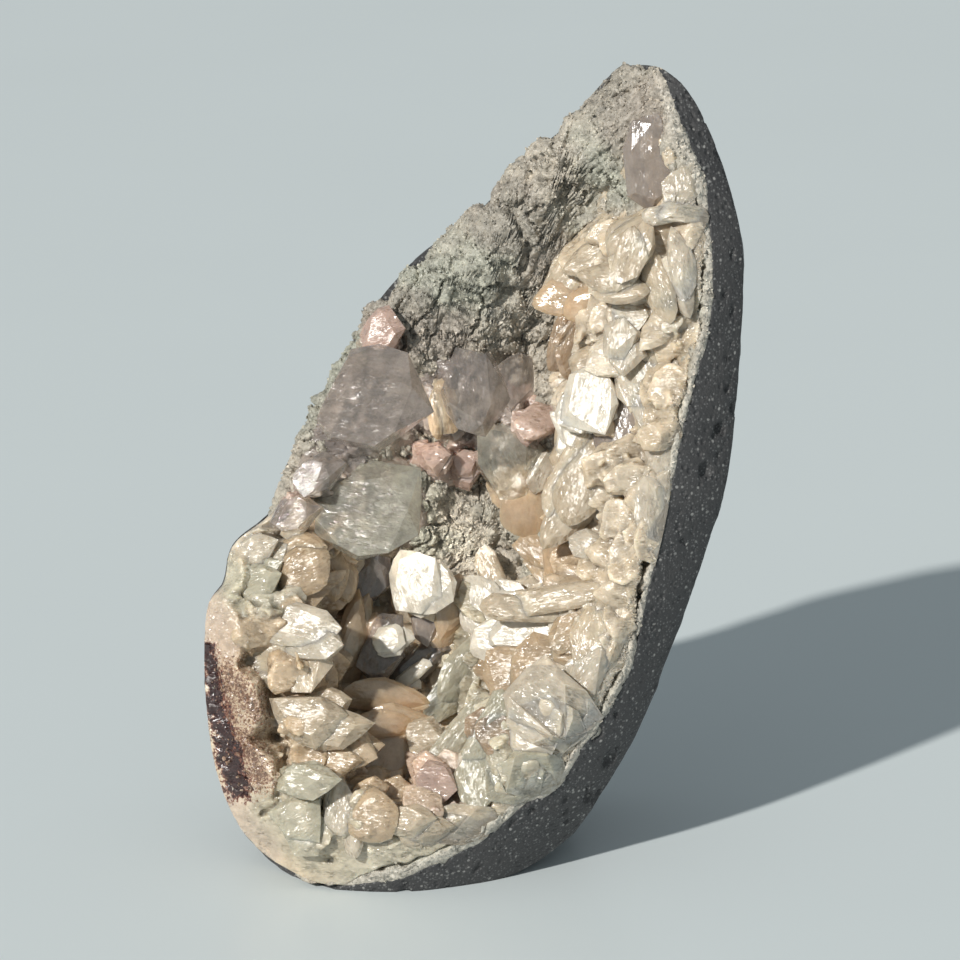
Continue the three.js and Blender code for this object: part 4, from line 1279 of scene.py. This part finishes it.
def basalt_material():
    """Ground and waxed dark basalt, densely flecked with grey, with fine pits and scratches."""
    nodes = Nodes("basalt")
    place = nodes.add("TexCoord", {}, "Object")
    cloud = nodes.noise(place, 120, 6, 0.7)
    colour = nodes.blend(cloud, BASALT_DARK, BASALT_LIGHT)
    for scale, rarity, size, shade in BASALT_FLECKS:
        warp = nodes.noise(place, 0.7 * scale, 2, 0.5, "Color")
        moved = nodes.vectors(place, "ADD", nodes.scaled(warp, 0.5 / scale))
        distance, own = nodes.cells(moved, scale)
        near = nodes.remap(distance, 0.5 * size, size, 1.0, 0.0)
        chosen = nodes.remap(nodes.add("SeparateColor", {0: own}), rarity, rarity + 0.2)
        colour = nodes.blend(nodes.maths(near, "MULTIPLY", chosen), colour, shade)
    fine = nodes.noise(place, 900, 4, 0.7)
    pits = nodes.remap(nodes.cells(place, 480)[0], 0.05, 0.34)
    return nodes.finish({
        "Base Color": colour,
        "Roughness": nodes.remap(cloud, 0.3, 0.7, 0.38, 0.7),
        "Normal": nodes.bumps((fine, 0.8, 0.0006), (pits, 0.6, 0.0007)),
    })


def druse_material():
    """Sugary grey-green druse that glitters."""
    nodes = Nodes("druse")
    place = nodes.add("TexCoord", {}, "Object")
    mottle = nodes.remap(nodes.noise(place, 420, 6, 0.75), 0.3, 0.7, 0.55, 1.5)
    clumps = nodes.noise(place, 500, 5, 0.7)
    grains = nodes.cells(place, 1100)[0]
    normal = nodes.bumps((clumps, 0.8, 0.0009), (grains, -0.7, 0.0005))
    return nodes.finish({
        "Base Color": nodes.scaled(nodes.add("Attribute", {}, "Color", attribute_name="tint"), mottle),
        "Normal": nodes.tilted(normal, place, 1900, 0.9),
        "Roughness": 0.33,
        "Specular IOR Level": 0.6,
        "Subsurface Weight": 0.15,
        "Subsurface Radius": (0.0012, 0.0010, 0.0008),
    })


def stained(nodes, place, colour):
    """Rusty speckles and a ragged black crack over a colour, where the piece's stain values say so."""
    stain = nodes.add("Attribute", {}, "Vector", attribute_name="stain")
    crack, rusty = (nodes.add("SeparateXYZ", {0: stain}, axis) for axis in "XY")
    ragged = nodes.noise(place, 0.55, 6, 0.75)
    speckle = nodes.noise(place, 1.6, 4, 0.8)
    for close, noise, start, tint in (
        (rusty, speckle, 0.52, "ochre"), (rusty, speckle, 0.74, "rust"),
        (crack, ragged, 0.3, "red"), (crack, ragged, 0.46, "maroon"),
    ):
        strong = nodes.maths(nodes.maths(noise, "SUBTRACT", 0.5), "MULTIPLY", 3.2)
        share = nodes.remap(nodes.maths(strong, "ADD", close), start, start + 0.14, 0.0, 0.92)
        factor = nodes.maths(share, "MULTIPLY", nodes.remap(close, 0.02, 0.2))
        colour = nodes.blend(factor, colour, (*TINTS[tint], 1))
    return colour


def crystal_material(name, transmission, subsurface, roughness, sparkle, facet, coat=0.0, absorption=0.0,
                     clouding=1.0, mottle=(0.8, 1.14), grown=False):
    """Pearly to glassy crystal, tinted point by point, with growth lines, clouds and small glints."""
    nodes = Nodes(name)
    grain = nodes.add("Attribute", {}, "Vector", attribute_name="grain")

    def stretched(scale):
        return nodes.add("Mapping", {"Vector": grain, "Scale": scale})

    growth = nodes.noise(stretched(GROWTH_WHERE_FUSED if grown else GROWTH_LINES), 0.9, 3, 0.55)
    cloud = nodes.noise(grain, 0.3, 6, 0.7)
    tint = nodes.add("Attribute", {}, "Color", attribute_name="tint")
    colour = nodes.scaled(tint, nodes.remap(cloud, 0.34, 0.66, *mottle))
    if grown:  # painted highlights on the edges and painted shade in the creases, then the stain
        # pointiness paints light: edges lighter as a painted highlight, creases darker as painted shade
        edge = nodes.add("NewGeometry", {}, "Pointiness")
        colour = nodes.scaled(colour, nodes.remap(edge, 0.44, 0.56, 0.62, 1.3))
        colour = stained(nodes, grain, colour)
    normal = nodes.bumps((growth, 0.4 * clouding, 0.0005), (cloud, 0.4 * clouding, 0.0014))
    normal = nodes.tilted(normal, stretched((0.5, 1.0, 1.2)), 0.5, facet)
    if sparkle:
        where = nodes.noise(grain, 0.33, 2, 0.5)
        amount = nodes.remap(where, 0.38, 0.58, 0.1 * sparkle, sparkle)
        normal = nodes.tilted(normal, stretched((0.55, 1.0, 1.5)), 1.9, amount)
    if absorption:
        depth = nodes.add("VolumeAbsorption", {"Color": ABSORBED_TINT, "Density": absorption})
        nodes.fill(nodes.tree.nodes["Material Output"], {"Volume": depth})
    return nodes.finish({
        "Base Color": colour,
        "Normal": normal,
        "Roughness": nodes.remap(cloud, 0.38, 0.62, 0.55 * roughness, 1.6 * roughness),
        "Transmission Weight": transmission,
        "Subsurface Weight": subsurface,
        "Subsurface Radius": (0.0026, 0.0021, 0.0015),
        "Subsurface Scale": 1.0,
        "IOR": 1.52,
        "Specular IOR Level": 0.85,
        "Coat Weight": coat,
        "Coat Roughness": 0.08,
    })


# The stone

def build_basalt():
    material = basalt_material()
    points, triangles = basalt_layer()
    cut_flat(make_piece("basalt_rock_surface", points, triangles, "basalt_rock", material))


def build_druse():
    material = druse_material()
    druse = points, triangles = druse_layer()
    tint = druse_tint(points)
    make_piece("druse_surface", points, triangles, "druse_lining", material, tint=tint)
    points, triangles, tint, _ = druse_grains(druse)
    make_piece("druse_grains", points, triangles, "druse_lining", material, tint, smooth=False)


def build_crust():
    materials = {
        name: crystal_material(name + "_crystal", **values) for name, values in CRYSTAL_MATERIALS.items()
    }

    def crystal_piece(name, kind, points, triangles, tint, grain, sharp):
        points = ground_off(lifted_off_base(points))
        grain = points if grain is None else grain
        material = materials[kind]
        piece = make_piece(name, points, triangles, "crystal_crust", material, tint, grain)
        piece.data.set_sharp_from_angle(angle=sharp)
        return piece, points

    bed = points, triangles = crust_layer()
    fused = filling_crystals(bed) + [small_crystals(bed), (points, triangles, crust_tint(points), points)]
    grown, points = crystal_piece("grown_crystals", "pearly", *grown_together(fused), None, GROWN_EDGE)
    stain = np.column_stack([closeness(points, CRACK), closeness(points, RUSTY), 0 * points[:, 0]])
    grown.data.attributes.new("stain", "FLOAT_VECTOR", "POINT").data.foreach_set("vector", stain.ravel())
    for kind, tints in CRYSTAL_PIECES.items():
        crystals = join(main_crystals(*tints))
        piece, _ = crystal_piece(kind + "_crystals", kind, *crystals, CRISP_EDGE)
        piece.visible_shadow = kind not in ("clear", "honey")  # light falls through these
    crystal_piece("sugary_grains", "sugary", *sugary_grains(bed), CRISP_EDGE)


# The floor, the light and the camera

FLOOR_COLOUR = (0.66, 0.715, 0.725)
SKY_COLOUR = (0.80, 0.90, 0.95, 1)
SKY_STRENGTH = 0.33
SUN_STRENGTH = 3.5
SUN_LEFT = math.radians(39)  # from the camera's side round to the left
SUN_HEIGHT = math.radians(33)
SUN_SIZE = math.radians(2.0)
CAMERA_DISTANCE = 1.0
CAMERA_HEIGHT_ANGLE = math.radians(18)
SENSOR_WIDTH = 36.0
PIXELS_PER_MM = 4.47
IMAGE_WIDTH = 960


def build_floor():
    nodes = Nodes("floor")
    place = nodes.add("TexCoord", {}, "Object")
    shade = nodes.remap(nodes.noise(place, 9, 3, 0.5), 0, 1, 0.985, 1.015)
    bpy.ops.mesh.primitive_plane_add(size=40)
    floor = bpy.context.object
    floor.name = "floor"
    floor.data.materials.append(nodes.finish({
        "Base Color": nodes.scaled(FLOOR_COLOUR, shade),
        "Roughness": 0.32,
        "Specular IOR Level": 0.25,
    }))


def build_light():
    world = bpy.data.worlds.new("sky")
    world.use_nodes = True
    sky = world.node_tree.nodes["Background"]
    sky.inputs["Color"].default_value = SKY_COLOUR
    sky.inputs["Strength"].default_value = SKY_STRENGTH
    bpy.context.scene.world = world
    lamp = bpy.data.lights.new("key", "SUN")
    lamp.energy = SUN_STRENGTH
    lamp.angle = SUN_SIZE
    lamp.color = (1.0, 0.975, 0.93)
    key = bpy.data.objects.new("key", lamp)
    flat = math.cos(SUN_HEIGHT)
    toward = Vector((-flat * math.sin(SUN_LEFT), -flat * math.cos(SUN_LEFT), math.sin(SUN_HEIGHT)))
    key.rotation_mode = "QUATERNION"
    key.rotation_quaternion = toward.to_track_quat("Z", "Y")
    bpy.context.scene.collection.objects.link(key)


def build_camera():
    lens = bpy.data.cameras.new("camera")
    lens.sensor_width = SENSOR_WIDTH
    lens.lens = PIXELS_PER_MM * CAMERA_DISTANCE * 1000 * SENSOR_WIDTH / IMAGE_WIDTH
    camera = bpy.data.objects.new("camera", lens)
    back = Vector((0, -math.cos(CAMERA_HEIGHT_ANGLE), math.sin(CAMERA_HEIGHT_ANGLE)))
    camera.location = Vector(FACE_ORIGIN * 0.001) + back * CAMERA_DISTANCE
    camera.rotation_mode = "QUATERNION"
    camera.rotation_quaternion = back.to_track_quat("Z", "Y")
    bpy.context.scene.collection.objects.link(camera)
    bpy.context.scene.camera = camera


bpy.context.scene.view_settings.view_transform = "Standard"
build_floor()
build_light()
build_camera()
build_basalt()
build_druse()
build_crust()
